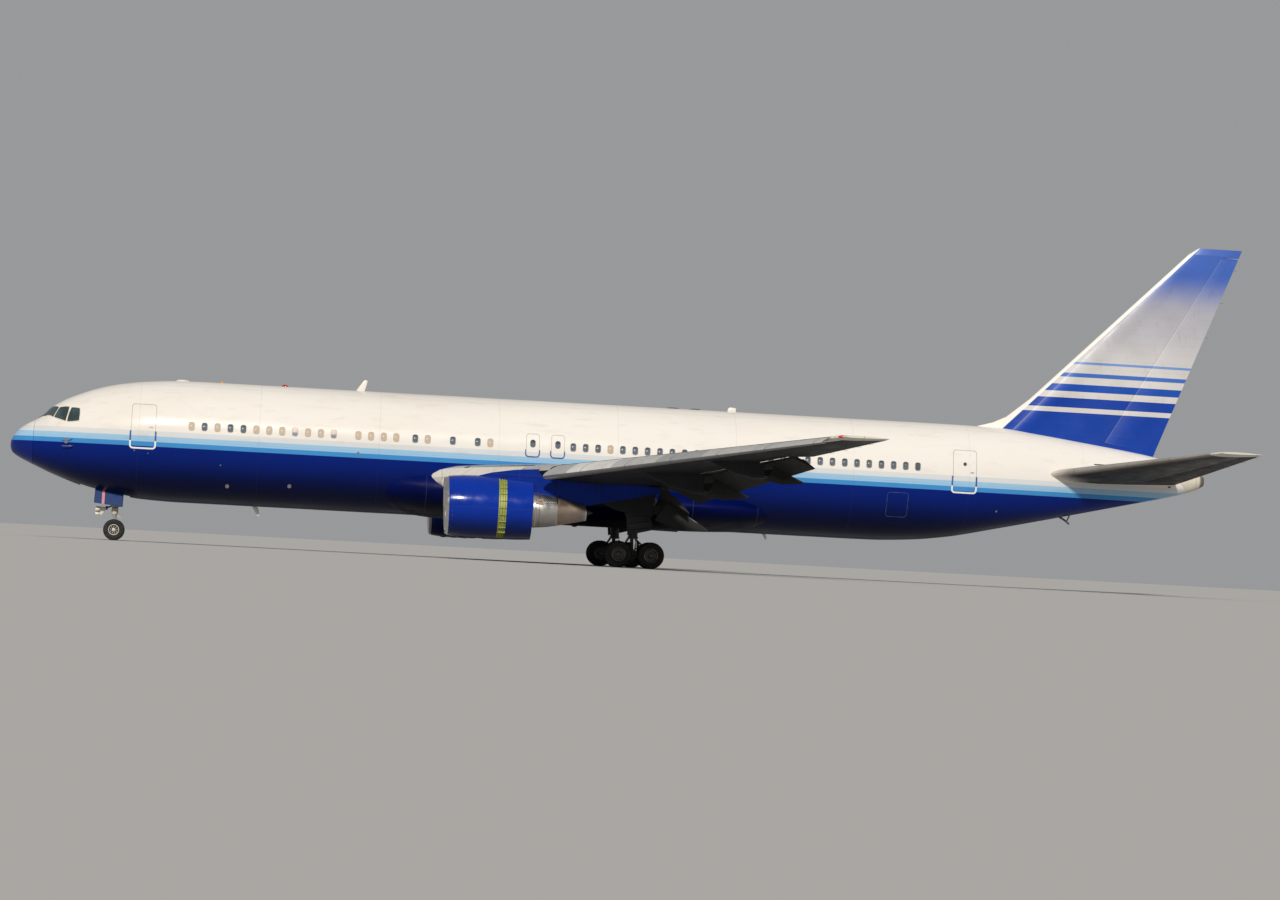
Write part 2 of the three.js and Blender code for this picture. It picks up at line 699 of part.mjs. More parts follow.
// A slat track: a stretch of a flat ring about the hinge line, between two angles up from straight ahead.
function trackArc(line, y, from, to, radius, halfW, halfDepth) {
  const centre = onLine(line, y);
  const along = line[1].clone().sub(line[0]).normalize();
  const ahead = new THREE.Vector3(-1, 0, 0).addScaledVector(along, along.x).normalize();
  const up = new THREE.Vector3().crossVectors(ahead, along).normalize();
  if (up.z < 0) up.negate();
  const steps = 4;
  const rings = Array.from({ length: steps + 1 }, (_, i) => {
    const angle = THREE.MathUtils.degToRad(from + ((to - from) * i) / steps);
    const out = ahead.clone().multiplyScalar(Math.cos(angle)).addScaledVector(up, Math.sin(angle));
    return [
      [radius - halfDepth, -halfW],
      [radius + halfDepth, -halfW],
      [radius + halfDepth, halfW],
      [radius - halfDepth, halfW],
    ].map(([r, w]) => centre.clone().addScaledVector(out, r).addScaledVector(along, w));
  });
  return loft(rings);
}

// One side of the aircraft, made to starboard; port is its mirror image

const wingTool = panel(wing, 1200, HALF_SPAN, skinOutline(SEAT_GAP));
let wingSolid = panel(wing, 1200, HALF_SPAN, skinOutline());
const wingMoving = {};

for (const [place, zone] of Object.entries(FLAP_ZONES)) {
  const line = flapHingeLine(zone);
  const bay = panel(wing, zone.s1, zone.s2, flapBay(zone));
  const a = spoilerHinge(zone, zone.s1);
  const b = spoilerHinge(zone, zone.s2);
  const row = panel(wing, zone.s1 + RUNNING_GAP, zone.s2 - RUNNING_GAP, spoilerOutline(zone));
  const spoiler = squareEnds(row, [a, b], {
    gap: RUNNING_GAP * 1.5,
    travel: SPOILERS_UP,
    noseR: SPOILER_LEAD_THICK / 2,
  });
  const hinged = withPins(spoiler, bay, a, b, 26);
  wingMoving[`spoilers_${place}`] = { made: hinged.moving, hinge: [a, b], color: WING_GREY };
  wingSolid = cut(wingSolid, hinged.bay);
  let flap = panel(wing, zone.flapFrom, zone.flapTo, flapOutline(zone));
  for (const y of zone.armsAt) {
    const size = Math.sqrt(wing.at(y).chord / wing.at(FLAP_ZONES.outboard.armsAt[0]).chord);
    const { canoe, slot } = supportFairing(line, y, size);
    const { moving, hole } = supportArm(line, y, size, zone.coneLength, zone.down);
    wingSolid = join(wingSolid, cut(canoe, slot, hole, panel(wing, zone.s1, zone.s2, flapBay(zone, true))));
    flap = join(flap, moving);
  }
  const axis = line[1].clone().sub(line[0]);
  wingMoving[`flap_${place}`] = { made: turnedBy(flap, line[0], axis, zone.down), hinge: line, color: WING_GREY };
}

for (const [place, zone] of Object.entries(SLAT_ZONES)) {
  const line = [slatHingeAt(zone, zone.s1), slatHingeAt(zone, zone.s2)];
  wingSolid = cut(wingSolid, panel(wing, zone.s1, zone.s2, slatBay(zone)));
  let slat = panel(wing, zone.s1 + RUNNING_GAP, zone.end, slatOutline(zone));
  for (const y of zone.tracksAt) {
    const station = wing.at(y);
    const d = zone.depth(station);
    const centre = onLine(line, y);
    const back = placeOn(station, d * 0.3, camberOf(station, 0.05));
    const radius = back.clone().sub(centre).length();
    const start = THREE.MathUtils.radToDeg(Math.atan2(back.z - centre.z, centre.x - back.x));
    slat = join(slat, trackArc(line, y, start - 4, start + SLAT_DOWN + 12, radius, TRACK_HALF_W, TRACK_DEPTH));
    wingSolid = cut(
      wingSolid,
      trackArc(line, y, start - 8, start + SLAT_DOWN + 15, radius, TRACK_HALF_W + PIN_GAP, TRACK_DEPTH + RUNNING_GAP),
    );
  }
  const axis = line[1].clone().sub(line[0]);
  wingMoving[`slat_${place}`] = { made: turnedBy(slat, line[0], axis, SLAT_DOWN * -1), hinge: line, color: BARE_METAL };
}

const AILERONS = {
  inboard: { on: wing, s1: 7120, s2: 8440, hingeAt: atX(28280), pinR: 30, travel: 20 },
  outboard: { on: wing, s1: 18350, s2: 22400, hingeAt: share(0.745), pinR: 24, travel: 30 },
};
for (const [place, sizes] of Object.entries(AILERONS)) {
  const { moving, bay, hinge } = makeControl(sizes);
  wingMoving[`aileron_${place}`] = { made: moving, hinge, color: WING_GREY };
  wingSolid = cut(wingSolid, bay);
}

// Tail surfaces

const STAB_TIP_START = 9050;
const stab = surface(
  [
    { s: 300, lead: [45320, 300, 5010], chord: 6870, thick: 0.1 },
    { s: STAB_TIP_START, lead: [52110, STAB_TIP_START, 6305], chord: 2030, thick: 0.09 },
    { s: 9310, lead: [52420, 9310, 6350], chord: 1780, thick: 0.05 },
  ],
  "z",
);
const elevatorSizes = { on: stab, s1: 1500, s2: 8750, hingeAt: share(0.7), pinR: 24, travel: 28.5 };
const elevator = makeControl(elevatorSizes);
const stabSolid = cut(panel(stab, 300, 9310, skinOutline()), elevator.bay, bodyTool);

const FIN_TOP = 15850;
const FIN_TIP_START = 15560;
const FIN_ROOT_Z = 5600;
const finLeadX = (z) => 52790 - (FIN_TOP - z);
const finTrailX = (z) => OVERALL_LENGTH - 0.38 * (FIN_TOP - z);
const finRow = (z, thick, trim = 0) => ({
  s: z,
  lead: [finLeadX(z) + trim, 0, z],
  chord: finTrailX(z) - finLeadX(z) - trim,
  thick,
});
const fin = surface([finRow(FIN_ROOT_Z, 0.105), finRow(FIN_TIP_START, 0.1), finRow(FIN_TOP, 0.06, 150)], "y");
fin.stations.forEach((station) => (station.symmetric = true));
const RUDDER_Z1 = 6760;
const RUDDER_Z2 = 15480;
const RUDDER_FOOT = 0.16; // the rudder's foot falls away aft with the tail's crown
const rudder = makeControl({
  on: fin,
  s1: RUDDER_Z1,
  s2: RUDDER_Z2,
  hingeAt: share(0.69),
  pinR: 30,
  travel: 26,
  slope: RUDDER_FOOT,
});
const DORSAL_HALF_W = 130;
const dorsalFin = plate(
  [
    [42800, 7100],
    [43300, 7260],
    [43900, 7430],
    [44500, 7720],
    [45500, 8560],
    [46600, 8560],
    [46600, 7000],
  ],
  -DORSAL_HALF_W,
  DORSAL_HALF_W,
);
const finSolid = largest(cut(join(panel(fin, FIN_ROOT_Z, FIN_TOP, skinOutline()), dorsalFin), rudder.bay, bodyTool));

// Engine, in its own frame: X aft from the intake lip, on the engine's axis

const LIP_JOINT = 300;
const COWL_END = 2255;
const FAN_CLEAR_R = 1215;
const SLEEVE_TRAVEL = 330;
const LIP_SCARF = 0.054; // the intake's face leans, its top ahead
const ENGINE_SIDES = 28;
const CORE_SIDES = 20;
const lipRing = turnedAboutX(
  [
    [LIP_JOINT, 1110],
    [120, 1112],
    [20, 1155],
    [0, 1190],
    [20, 1222],
    [120, 1262],
    [LIP_JOINT, 1290],
    [LIP_JOINT, 1110],
  ],
  ENGINE_SIDES,
).warp((point) => {
  point[0] -= LIP_SCARF * point[2] * (1 - point[0] / LIP_JOINT);
});
const cowlRing = (grow) =>
  turnedAboutX(
    [
      [LIP_JOINT + SEAT_GAP - grow, 1110],
      [LIP_JOINT + SEAT_GAP - grow, 1290 + grow],
      [700, 1328 + grow],
      [1300, 1346 + grow],
      [COWL_END + grow, 1336 + grow],
      [COWL_END + grow, 1190 - grow],
      [900, FAN_CLEAR_R - grow],
      [LIP_JOINT + SEAT_GAP - grow, 1110],
    ],
    ENGINE_SIDES,
  );
const CASCADE_START = COWL_END + SEAT_GAP;
const CASCADE_END = 2860;
const cascadeRing = turnedAboutX(
  [
    [CASCADE_START, 1195],
    [CASCADE_START, 1290],
    [CASCADE_END, 1284],
    [CASCADE_END, 1195],
    [CASCADE_START, 1195],
  ],
  ENGINE_SIDES,
);
const SLEEVE_START = COWL_END + SLEEVE_TRAVEL + RUNNING_GAP;
const SLEEVE_END = 3725;
const sleeveRing = turnedAboutX(
  [
    [SLEEVE_START, 1304],
    [SLEEVE_START, 1336],
    [SLEEVE_START + 500, 1328],
    [SLEEVE_END, 1292],
    [SLEEVE_END, 1268],
    [SLEEVE_START + 700, 1288],
    [SLEEVE_START + 600, 1304],
    [SLEEVE_START, 1304],
  ],
  ENGINE_SIDES,
);
const coreBody = (grow) =>
  turnedAboutX(
    [
      [1460 - grow, 0],
      [1460 - grow, 500 + grow],
      [1900, 600 + grow],
      [2700, 730 + grow],
      [3700, 765 + grow],
      [4300, 725 + grow],
      [4830, 640 + grow],
      [6095 + grow, 362 + grow],
      [6095 + grow, 338],
      [5700, 350],
      [5700, 205],
      [6095, 160],
      [6400, 20],
      [6400, 0],
    ],
    CORE_SIDES,
  );
const coreTool = turnedAboutX(
  [
    [1450, 0],
    [1450, 500 + SEAT_GAP],
    [1900, 600 + SEAT_GAP],
    [2700, 730 + SEAT_GAP],
    [3700, 765 + SEAT_GAP],
    [4300, 725 + SEAT_GAP],
    [4830, 640 + SEAT_GAP],
    [6097, 362 + SEAT_GAP],
    [6097, 0],
  ],
  CORE_SIDES,
);
const FAN_SHAFT_R = 120;
const SHAFT_SIDES = 14;
const FRAME_STRUTS = 6;
function coreSolid() {
  const struts = Array.from({ length: FRAME_STRUTS }, (_, i) => {
    const strut = box(1960, 2240, -26, 26, 560, 1180 - SEAT_GAP * 2);
    return strut.rotate([(360 * (i + 0.5)) / FRAME_STRUTS, 0, 0]);
  });
  return cut(join(coreBody(0), ...struts), bore([1400, 0, 0], [1800, 0, 0], FAN_SHAFT_R, SHAFT_SIDES));
}

// The fan: a spinner, a hub on its shaft and twisted blades.
const FAN_BLADES = 18;
const FAN_TIP_R = 1172;
function fanSolid() {
  const hub = turnedAboutX(
    [
      [600, 0],
      [680, 110],
      [860, 260],
      [1060, 370],
      [1180, 400],
      [1440, 430],
      [1440, 0],
    ],
    18,
  );
  const shaft = rod([1400, 0, 0], [1780, 0, 0], FAN_SHAFT_R, FAN_SHAFT_R, SHAFT_SIDES);
  // columns: radius, half chord, blade angle from the axis in degrees, half thickness
  const blade = [
    [330, 150, 28, 22],
    [FAN_TIP_R, 170, 62, 8],
  ].map(([radius, half, angle, thick]) => {
    const turn = THREE.MathUtils.degToRad(angle);
    return [
      [-half, 0],
      [0, thick],
      [half, 0],
      [0, -thick],
    ].map(
      ([along, across]) =>
        new THREE.Vector3(
          1260 + along * Math.cos(turn) - across * Math.sin(turn),
          along * Math.sin(turn) + across * Math.cos(turn),
          radius,
        ),
    );
  });
  const one = loft(blade);
  const blades = Array.from({ length: FAN_BLADES }, (_, i) => one.rotate([(360 * i) / FAN_BLADES, 0, 0]));
  return join(hub, shaft, ...blades);
}

// Pylon, in the aircraft's frame: a narrow box from the cowl's top over the core to under the wing.
const PYLON_HALF_W = 210;
const engineMatrix = new THREE.Matrix4().makeTranslation(ENGINE_LIP_X, ENGINE_Y, ENGINE_AXIS_Z);
const onAircraft = (made) => made.transform(engineMatrix.elements);
const PYLON_OUTLINE = [
  [20250, 3600],
  [20900, 3790],
  [21900, 3960],
  [22900, 4040],
  [24600, 4010],
  [28250, 3480],
  [28250, 3320],
  [27600, 3120],
  [25000, 2560],
  [24300, 2480],
  [21000, 2600],
  [20850, 2900],
  [20850, 3500],
];
function pylonRing(y, shrink) {
  const centre = new THREE.Vector3(24000, y, 3300);
  return PYLON_OUTLINE.map(([x, z]) => new THREE.Vector3(x, y, z).lerp(centre, shrink));
}
const pylonBlock = loft([
  pylonRing(ENGINE_Y - PYLON_HALF_W, 0),
  pylonRing(ENGINE_Y + PYLON_HALF_W, 0),
]);
const pylonSlot = (gap) => box(0, 9000, -PYLON_HALF_W - gap, PYLON_HALF_W + gap, 300, 2500);
const cowlTool = turnedAboutX(
  [
    [-200, 1180 - SEAT_GAP],
    [-200, 1290 + SEAT_GAP],
    [LIP_JOINT, 1290 + SEAT_GAP],
    [700, 1328 + SEAT_GAP],
    [1300, 1346 + SEAT_GAP],
    [COWL_END + SEAT_GAP, 1336 + SEAT_GAP],
    [COWL_END + SEAT_GAP, 1180 - SEAT_GAP],
    [-200, 1180 - SEAT_GAP],
  ],
  ENGINE_SIDES,
);
const pylonSolid = largest(cut(pylonBlock, onAircraft(cowlTool), onAircraft(coreTool), wingTool));

const engineParts = {
  inlet_lip: { made: lipRing, color: BARE_METAL },
  fan_cowl: { made: cowlRing(0), color: BLUE },
  cascade: { made: cut(cascadeRing, pylonSlot(SEAT_GAP)), color: CASCADE_GREEN },
  reverser_sleeve: { made: cut(sleeveRing, pylonSlot(SEAT_GAP)), color: BLUE, slide: true },
  core_cowl: { made: coreSolid(), color: HOT_METAL },
  fan: { made: fanSolid(), color: FAN_GREY, spin: true },
};

// Wheels: two tyres on one axle, turned as one body about +Y

// columns: distance outboard of the tyre's middle as a share of its width, radius as a share of the tyre's
const WHEEL_OUTLINE = [
  [-0.5, 0.75],
  [-0.3, 1],
  [0.3, 1],
  [0.5, 0.75],
  [0.42, 0.5],
  [0.2, 0.4],
  [0.2, 0],
];
function wheelPair(tyreR, tyreW, halfSpacing, axleR) {
  const vertexR = tyreR / Math.cos(Math.PI / WHEEL_SIDES);
  const outer = WHEEL_OUTLINE.map(([across, r]) => [halfSpacing + across * tyreW, r * vertexR]);
  const half = [[halfSpacing - 0.42 * tyreW, axleR], ...outer];
  const mirrored = half.map(([y, r]) => [-y, r]).toReversed();
  const geometry = new THREE.LatheGeometry(
    [...mirrored, ...half].map(([y, r]) => new THREE.Vector2(r, y)),
    WHEEL_SIDES,
    Math.PI / 2 + Math.PI / WHEEL_SIDES,
  );
  return solid(geometry);
}
const axleBore = (x, y, z, axleR) =>
  bore([x, y - 200, z], [x, y + 200, z], axleR, WHEEL_SIDES, Math.PI / WHEEL_SIDES);

// Main gear leg: cylinder, piston, truck beam, torque links and side stay in one piece

const TRUCK_Z = MAIN_TYRE_R;
const LEG_TOP_Z = 3440;
const GEAR_BAY = [26900, 27820, 4180, 5120];
function mainLegSolid() {
  const [x, y] = [MAIN_GEAR_X, MAIN_GEAR_Y];
  const top = [x - 130, y, LEG_TOP_Z - SEAT_GAP];
  const beam = box(x - 860, x + 860, y - 125, y + 125, TRUCK_Z - 125, TRUCK_Z + 105);
  const parts = [
    rod([x - 60, y, 1280], top, 205, 215, 16),
    rod([x, y, TRUCK_Z], [x - 60, y, 1400], 135, 135, 12),
    rod([x, y - 150, TRUCK_Z + 60], [x, y + 150, TRUCK_Z + 60], 150, 150, 12),
    beam,
    // trunnion across the top, in the wing's bay
    rod([x - 120, y - 430, 3330], [x - 120, y + 430, 3330], 90),
    // torque links behind the piston
    plate([[x, 1360], [x + 330, 1090], [x + 300, 1030], [x, 1250]], y - 70, y + 70),
    plate([[x, 800], [x + 330, 1090], [x + 300, 1030], [x + 20, 690]], y - 60, y + 60),
    // drag stay forward and side stay inboard
    rod([x - 60, y, 1750], [x - 560, y, 3330], 62),
    rod([x - 60, y - 60, 1650], [x - 110, y - 1900, 2750], 70),
    // brake rods above the beam
    rod([x - 760, y - 90, TRUCK_Z + 150], [x + 760, y - 90, TRUCK_Z + 150], 28, 28, 6),
    rod([x - 690, y - 90, TRUCK_Z], [x - 690, y - 90, TRUCK_Z + 150], 28, 28, 6),
    rod([x + 690, y - 90, TRUCK_Z], [x + 690, y - 90, TRUCK_Z + 150], 28, 28, 6),
  ];
  const bores = [-1, 1].map((side) => axleBore(x + side * MAIN_AXLE_HALF_SPACING, y, TRUCK_Z, MAIN_AXLE_R));
  return cut(join(...parts), ...bores, fairingTool, wingTool);
}

const wingWithBay = () => {
  const [x1, x2, y1, y2] = GEAR_BAY;
  return cut(wingSolid, box(x1, x2, y1, y2, 2000, LEG_TOP_Z));
};

const LEG_DOOR_Y = MAIN_GEAR_Y + 330;
function legDoorSolid() {
  const x = MAIN_GEAR_X;
  const skin = plate(
    [
      [x - 640, 3400],
      [x - 470, 1500],
      [x + 130, 1320],
      [x + 290, 3400],
    ],
    LEG_DOOR_Y - 20,
    LEG_DOOR_Y + 25,
  );
  const links = [1700, 2500].map((z) => rod([x - 70, MAIN_GEAR_Y + 190, z], [x - 70, LEG_DOOR_Y, z], 40));
  return join(skin, ...links);
}

// Nose gear

const NOSE_WELL = [3150, 5380, 470, 3250];
const NOSE_COLLAR_Z = 1330;
const NOSE_CYLINDER_R = 130;
const NOSE_PISTON_R = 84;
function noseLegSolid() {
  const [x, z] = [NOSE_GEAR_X, NOSE_WELL[3] - SEAT_GAP];
  const cylinder = rod([x, 0, NOSE_COLLAR_Z + 100], [x, 0, z], NOSE_CYLINDER_R, NOSE_CYLINDER_R, 14);
  const hole = bore([x, 0, 1000], [x, 0, 2100], NOSE_PISTON_R, SHAFT_SIDES);
  const trunnion = rod([x, -NOSE_WELL[2] + SEAT_GAP, 2700], [x, NOSE_WELL[2] - SEAT_GAP, 2700], 70);
  const stays = [-1, 1].map((side) => rod([x - 60, side * 80, 1750], [3400, side * 180, z - 60], 42, 42, 10));
  const cross = rod([4060, -160, 2520], [4060, 160, 2520], 34, 34, 10);
  const lampArm = rod([x - 60, 0, 1560], [x - 350, 0, 1430], 36, 36, 10);
  const lamps = [-1, 1].map((side) => rod([x - 330, side * 120, 1430], [x - 400, side * 120, 1425], 80, 95, 14));
  const lampBar = rod([x - 340, -150, 1430], [x - 340, 150, 1430], 34, 34, 10);
  return cut(join(cylinder, trunnion, ...stays, cross, lampArm, ...lamps, lampBar), hole);
}

function noseSteeringSolid() {
  const x = NOSE_GEAR_X;
  const z = NOSE_TYRE_R;
  const piston = rod([x, 0, z], [x, 0, 2080], NOSE_PISTON_R, NOSE_PISTON_R, SHAFT_SIDES);
  const block = rod([x, -100, z], [x, 100, z], 105, 105, 12);
  const collar = rod([x, 0, 1150], [x, 0, NOSE_COLLAR_Z + 100 - SEAT_GAP], 150, 150, 12);
  const linkTop = plate([[x, 1300], [x + 300, 1010], [x + 280, 950], [x, 1190]], -50, 50);
  const linkLow = plate([[x, 680], [x + 300, 1010], [x + 280, 950], [x + 20, 560]], -42, 42);
  return cut(join(piston, block, collar, linkTop, linkLow), axleBore(x, 0, z, NOSE_AXLE_R));
}

function noseDoorSolid() {
  const skin = plate(
    [
      [3860, 2700],
      [3820, 1620],
      [5060, 1500],
      [5110, 2700],
    ],
    0,
    36,
  );
  const tilted = turnedBy(skin, new THREE.Vector3(4500, 0, 2080), new THREE.Vector3(1, 0, 0), 8);
  return largest(cut(tilted.translate([0, NOSE_WELL[2] + 14, 0]), bodyTool));
}

// The assembly

const airliner = new THREE.Group();
airliner.scale.setScalar(MODEL_SCALE);
airliner.position.x = (-OVERALL_LENGTH / 2) * MODEL_SCALE;

function addPiece(group, name, made, material, userData = {}) {
  const piece = new THREE.Mesh(geometryOf(made), material);
  piece.name = name;
  Object.assign(piece.userData, userData);
  group.add(piece);
  return piece;
}

const [wellX1, wellX2, wellHalfW, wellTop] = NOSE_WELL;
const noseWell = box(wellX1, wellX2, -wellHalfW, wellHalfW, 1000, wellTop);
addPiece(airliner, "radome", bodySolid(0, RADOME_JOINT - SEAT_GAP), BLUE);
addPiece(airliner, "fuselage", cut(bodySolid(RADOME_JOINT, TAIL_CONE_JOINT - SEAT_GAP), noseWell), WHITE);
const exhaust = rod([53300, 0, 5265], [54000, 0, 5265], 150);
addPiece(airliner, "tail_cone", cut(bodySolid(TAIL_CONE_JOINT, 53670), exhaust), WHITE);
addPiece(airliner, "wing_fairing", largest(cut(fairingLoft(0), bodyTool)), BLUE);
addPiece(airliner, "fin", finSolid, WHITE);
addPiece(airliner, "rudder", rudder.moving, WHITE, { hinge: rudder.hinge });
addPiece(airliner, "nose_leg", noseLegSolid(), GEAR_GREY);
addPiece(airliner, "nose_steering", noseSteeringSolid(), GEAR_GREY, {
  hinge: [new THREE.Vector3(NOSE_GEAR_X, 0, 0), new THREE.Vector3(NOSE_GEAR_X, 0, 1000)],
});
const noseWheels = addPiece(
  airliner,
  "nose_wheels",
  wheelPair(NOSE_TYRE_R, NOSE_TYRE_W, NOSE_TWIN_HALF_SPACING, NOSE_AXLE_R),
  TYRE_BLACK,
  { hinge: [new THREE.Vector3(0, 0, 0), new THREE.Vector3(0, 1000, 0)] },
);
noseWheels.position.set(NOSE_GEAR_X, 0, NOSE_TYRE_R);

for (const [side, sign] of [["right", 1], ["left", -1]]) {
  const half = new THREE.Group();
  half.scale.y = sign;
  airliner.add(half);
  addPiece(half, `wing_${side}`, largest(cut(wingWithBay(), bodyTool, fairingTool)), WING_GREY);
  for (const [name, { made, hinge, color }] of Object.entries(wingMoving))
    addPiece(half, `${name}_${side}`, made, color, { hinge });
  addPiece(half, `stabilizer_${side}`, largest(stabSolid), WING_GREY);
  addPiece(half, `elevator_${side}`, elevator.moving, WING_GREY, { hinge: elevator.hinge });
  addPiece(half, `pylon_${side}`, pylonSolid, BLUE);
  const engine = new THREE.Group();
  engine.applyMatrix4(engineMatrix);
  half.add(engine);
  const engineLine = [new THREE.Vector3(0, 0, 0), new THREE.Vector3(1000, 0, 0)];
  for (const [name, { made, color, slide, spin }] of Object.entries(engineParts))
    addPiece(engine, `${name}_${side}`, made, color, slide || spin ? { hinge: engineLine } : {});
  addPiece(half, `main_leg_${side}`, largest(mainLegSolid()), GEAR_GREY);
  addPiece(half, `leg_door_${side}`, largest(cut(legDoorSolid(), wingTool, rod([MAIN_GEAR_X - 60, MAIN_GEAR_Y, 1280], [MAIN_GEAR_X - 130, MAIN_GEAR_Y, LEG_TOP_Z], 205 + SEAT_GAP, 215 + SEAT_GAP, 20))), BLUE);
  addPiece(half, `nose_door_${side}`, noseDoorSolid(), BLUE);
  for (const [place, shift] of [["front", -1], ["rear", 1]]) {
    const pair = addPiece(
      half,
      `main_wheels_${place}_${side}`,
      wheelPair(MAIN_TYRE_R, MAIN_TYRE_W, MAIN_TWIN_HALF_SPACING, MAIN_AXLE_R),
      TYRE_BLACK,
      { hinge: [new THREE.Vector3(0, 0, 0), new THREE.Vector3(0, 1000, 0)] },
    );
    pair.position.set(MAIN_GEAR_X + shift * MAIN_AXLE_HALF_SPACING, MAIN_GEAR_Y, TRUCK_Z);
  }
}

export default airliner;
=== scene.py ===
import math
import bmesh
import bpy
from mathutils import Matrix, Vector


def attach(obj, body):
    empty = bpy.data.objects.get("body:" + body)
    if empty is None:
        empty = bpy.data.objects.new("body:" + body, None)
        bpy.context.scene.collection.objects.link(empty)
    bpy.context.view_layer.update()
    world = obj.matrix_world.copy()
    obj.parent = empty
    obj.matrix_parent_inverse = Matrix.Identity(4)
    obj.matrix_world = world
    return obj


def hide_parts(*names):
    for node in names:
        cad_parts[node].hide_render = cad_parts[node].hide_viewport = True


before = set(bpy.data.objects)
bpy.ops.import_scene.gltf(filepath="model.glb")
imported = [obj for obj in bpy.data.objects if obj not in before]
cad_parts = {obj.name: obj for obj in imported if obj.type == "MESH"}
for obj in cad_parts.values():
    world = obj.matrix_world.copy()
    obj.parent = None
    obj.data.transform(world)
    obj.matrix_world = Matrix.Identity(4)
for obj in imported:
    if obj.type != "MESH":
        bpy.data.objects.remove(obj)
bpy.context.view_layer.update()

# ---------------------------------------------------------------- camera, floor and light
# The camera stands far off the port side at the height of the wheels, with a long lens.
# Floor and sky are plain and pale, and a soft low sun shines from port.
CAMERA_SPOT = (-8.82, -99.57, 0.26)
SWING, TILT, ROLL = (math.radians(angle) for angle in (-5.205, 91.369, 3.057))
LONG_LENS = 125.37
bpy.ops.object.camera_add(location=CAMERA_SPOT)
camera = bpy.context.object
turn = Matrix.Rotation(SWING, 4, "Z") @ Matrix.Rotation(TILT, 4, "X")
camera.matrix_world = Matrix.Translation(camera.location) @ turn @ Matrix.Rotation(ROLL, 4, "Z")
camera.data.lens = LONG_LENS
camera.data.sensor_width = 36
camera.data.sensor_fit = "HORIZONTAL"
camera.data.clip_start = 1
camera.data.clip_end = 20000
bpy.context.scene.camera = camera

SKY = (0.79, 0.80, 0.82)
SKY_STRENGTH = 0.40
world = bpy.data.worlds.new("studio")
world.use_nodes = True
sky = world.node_tree.nodes["Background"]
sky.inputs["Color"].default_value = (*SKY, 1)
sky.inputs["Strength"].default_value = SKY_STRENGTH
bpy.context.scene.world = world
bpy.context.scene.view_settings.view_transform = "Standard"

SUN_WAY = (0.11, 0.855, -0.507)
bpy.ops.object.light_add(type="SUN", location=(-20, -30, 40))
sun = bpy.context.object
sun.rotation_euler = Vector(SUN_WAY).to_track_quat("-Z", "Y").to_euler()
sun.data.energy = 3.0
sun.data.angle = math.radians(5)
sun.data.color = (1.0, 0.965, 0.9)

FLOOR_GREY = (0.50, 0.49, 0.48)
FLOOR_SIZE = 12000
bpy.ops.mesh.primitive_plane_add(size=FLOOR_SIZE, location=(0, 0, 0))
floor = bpy.context.object
floor.name = "floor"
floor_paint = bpy.data.materials.new("floor_matt")
floor_paint.use_nodes = True
for socket, value in (("Base Color", (*FLOOR_GREY, 1)), ("Roughness", 1), ("Specular IOR Level", 0)):
    floor_paint.node_tree.nodes["Principled BSDF"].inputs[socket].default_value = value
floor.data.materials.append(floor_paint)

# ---------------------------------------------------------------- fuselage
# A pressurised tube of riveted aluminium skins on frames, painted in level bands: royal blue belly,
# two lighter blues, a pale line and a warm white crown. Sizes here and below are the full size aircraft's.
LENGTH = 54.94


def place(x, y, z):
    """A point of the full size aircraft, by its station from the nose, in the half size model's frame."""
    return Vector(((x - LENGTH / 2) / 2, y / 2, z / 2))


def only(piece):
    """Makes this piece the only one that operators act on."""
    if bpy.context.object and bpy.context.object.mode != "OBJECT":
        bpy.ops.object.mode_set(mode="OBJECT")
    bpy.ops.object.select_all(action="DESELECT")
    piece.select_set(True)
    bpy.context.view_layer.objects.active = piece


def named(name):
    """The piece that the last operator made, under its own name."""
    piece = bpy.context.object
    piece.name = name
    piece.data.name = name
    return piece


def fit(piece, body, finish, replaces=(), smooth=40):
    """Fixes a finished piece to its body, with its place in its mesh."""
    only(piece)
    bpy.ops.object.transform_apply(location=True, rotation=True, scale=True)
    bpy.ops.object.shade_smooth_by_angle(angle=math.radians(smooth))
    if finish:
        piece.data.materials.clear()
        piece.data.materials.append(finish)
    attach(piece, body)
    if replaces:
        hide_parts(*replaces)
    return piece


def add(tree, kind, inputs=(), **settings):
    """A shader node with its inputs set or linked, in order or by name."""
    made = tree.nodes.new("ShaderNode" + kind)
    for key, value in settings.items():
        setattr(made, key, value)
    for key, value in dict(inputs).items():
        socket = made.inputs[key]
        if isinstance(value, bpy.types.NodeSocket):
            tree.links.new(value, socket)
        else:
            socket.default_value = value
    return made


def new_finish(name, colour, roughness, metallic=0.0, shine=0.5):
    """A surface finish, with the colours and values that are the same all over it."""
    finish = bpy.data.materials.new(name)
    finish.use_nodes = True
    shader = finish.node_tree.nodes["Principled BSDF"]
    for socket, value in (("Base Color", (*colour, 1)), ("Roughness", roughness), ("Metallic", metallic),
                          ("Specular IOR Level", shine)):
        shader.inputs[socket].default_value = value
    return finish


def place_on(finish):
    """Where a point of the piece lies, as a socket."""
    tree = finish.node_tree
    found = tree.nodes.get("Texture Coordinate") or tree.nodes.new("ShaderNodeTexCoord")
    return found.outputs["Object"]


def tint(finish, factor, colour, mode="MIX"):
    """Lays a colour over what the finish has so far, by a factor."""
    tree = finish.node_tree
    base = tree.nodes["Principled BSDF"].inputs["Base Color"]
    below = base.links[0].from_socket if base.links else tuple(base.default_value)
    over = (*colour, 1) if isinstance(colour, tuple) else colour
    mix = add(tree, "Mix", {0: factor, 6: below, 7: over}, data_type="RGBA", blend_type=mode)
    tree.links.new(mix.outputs[2], base)


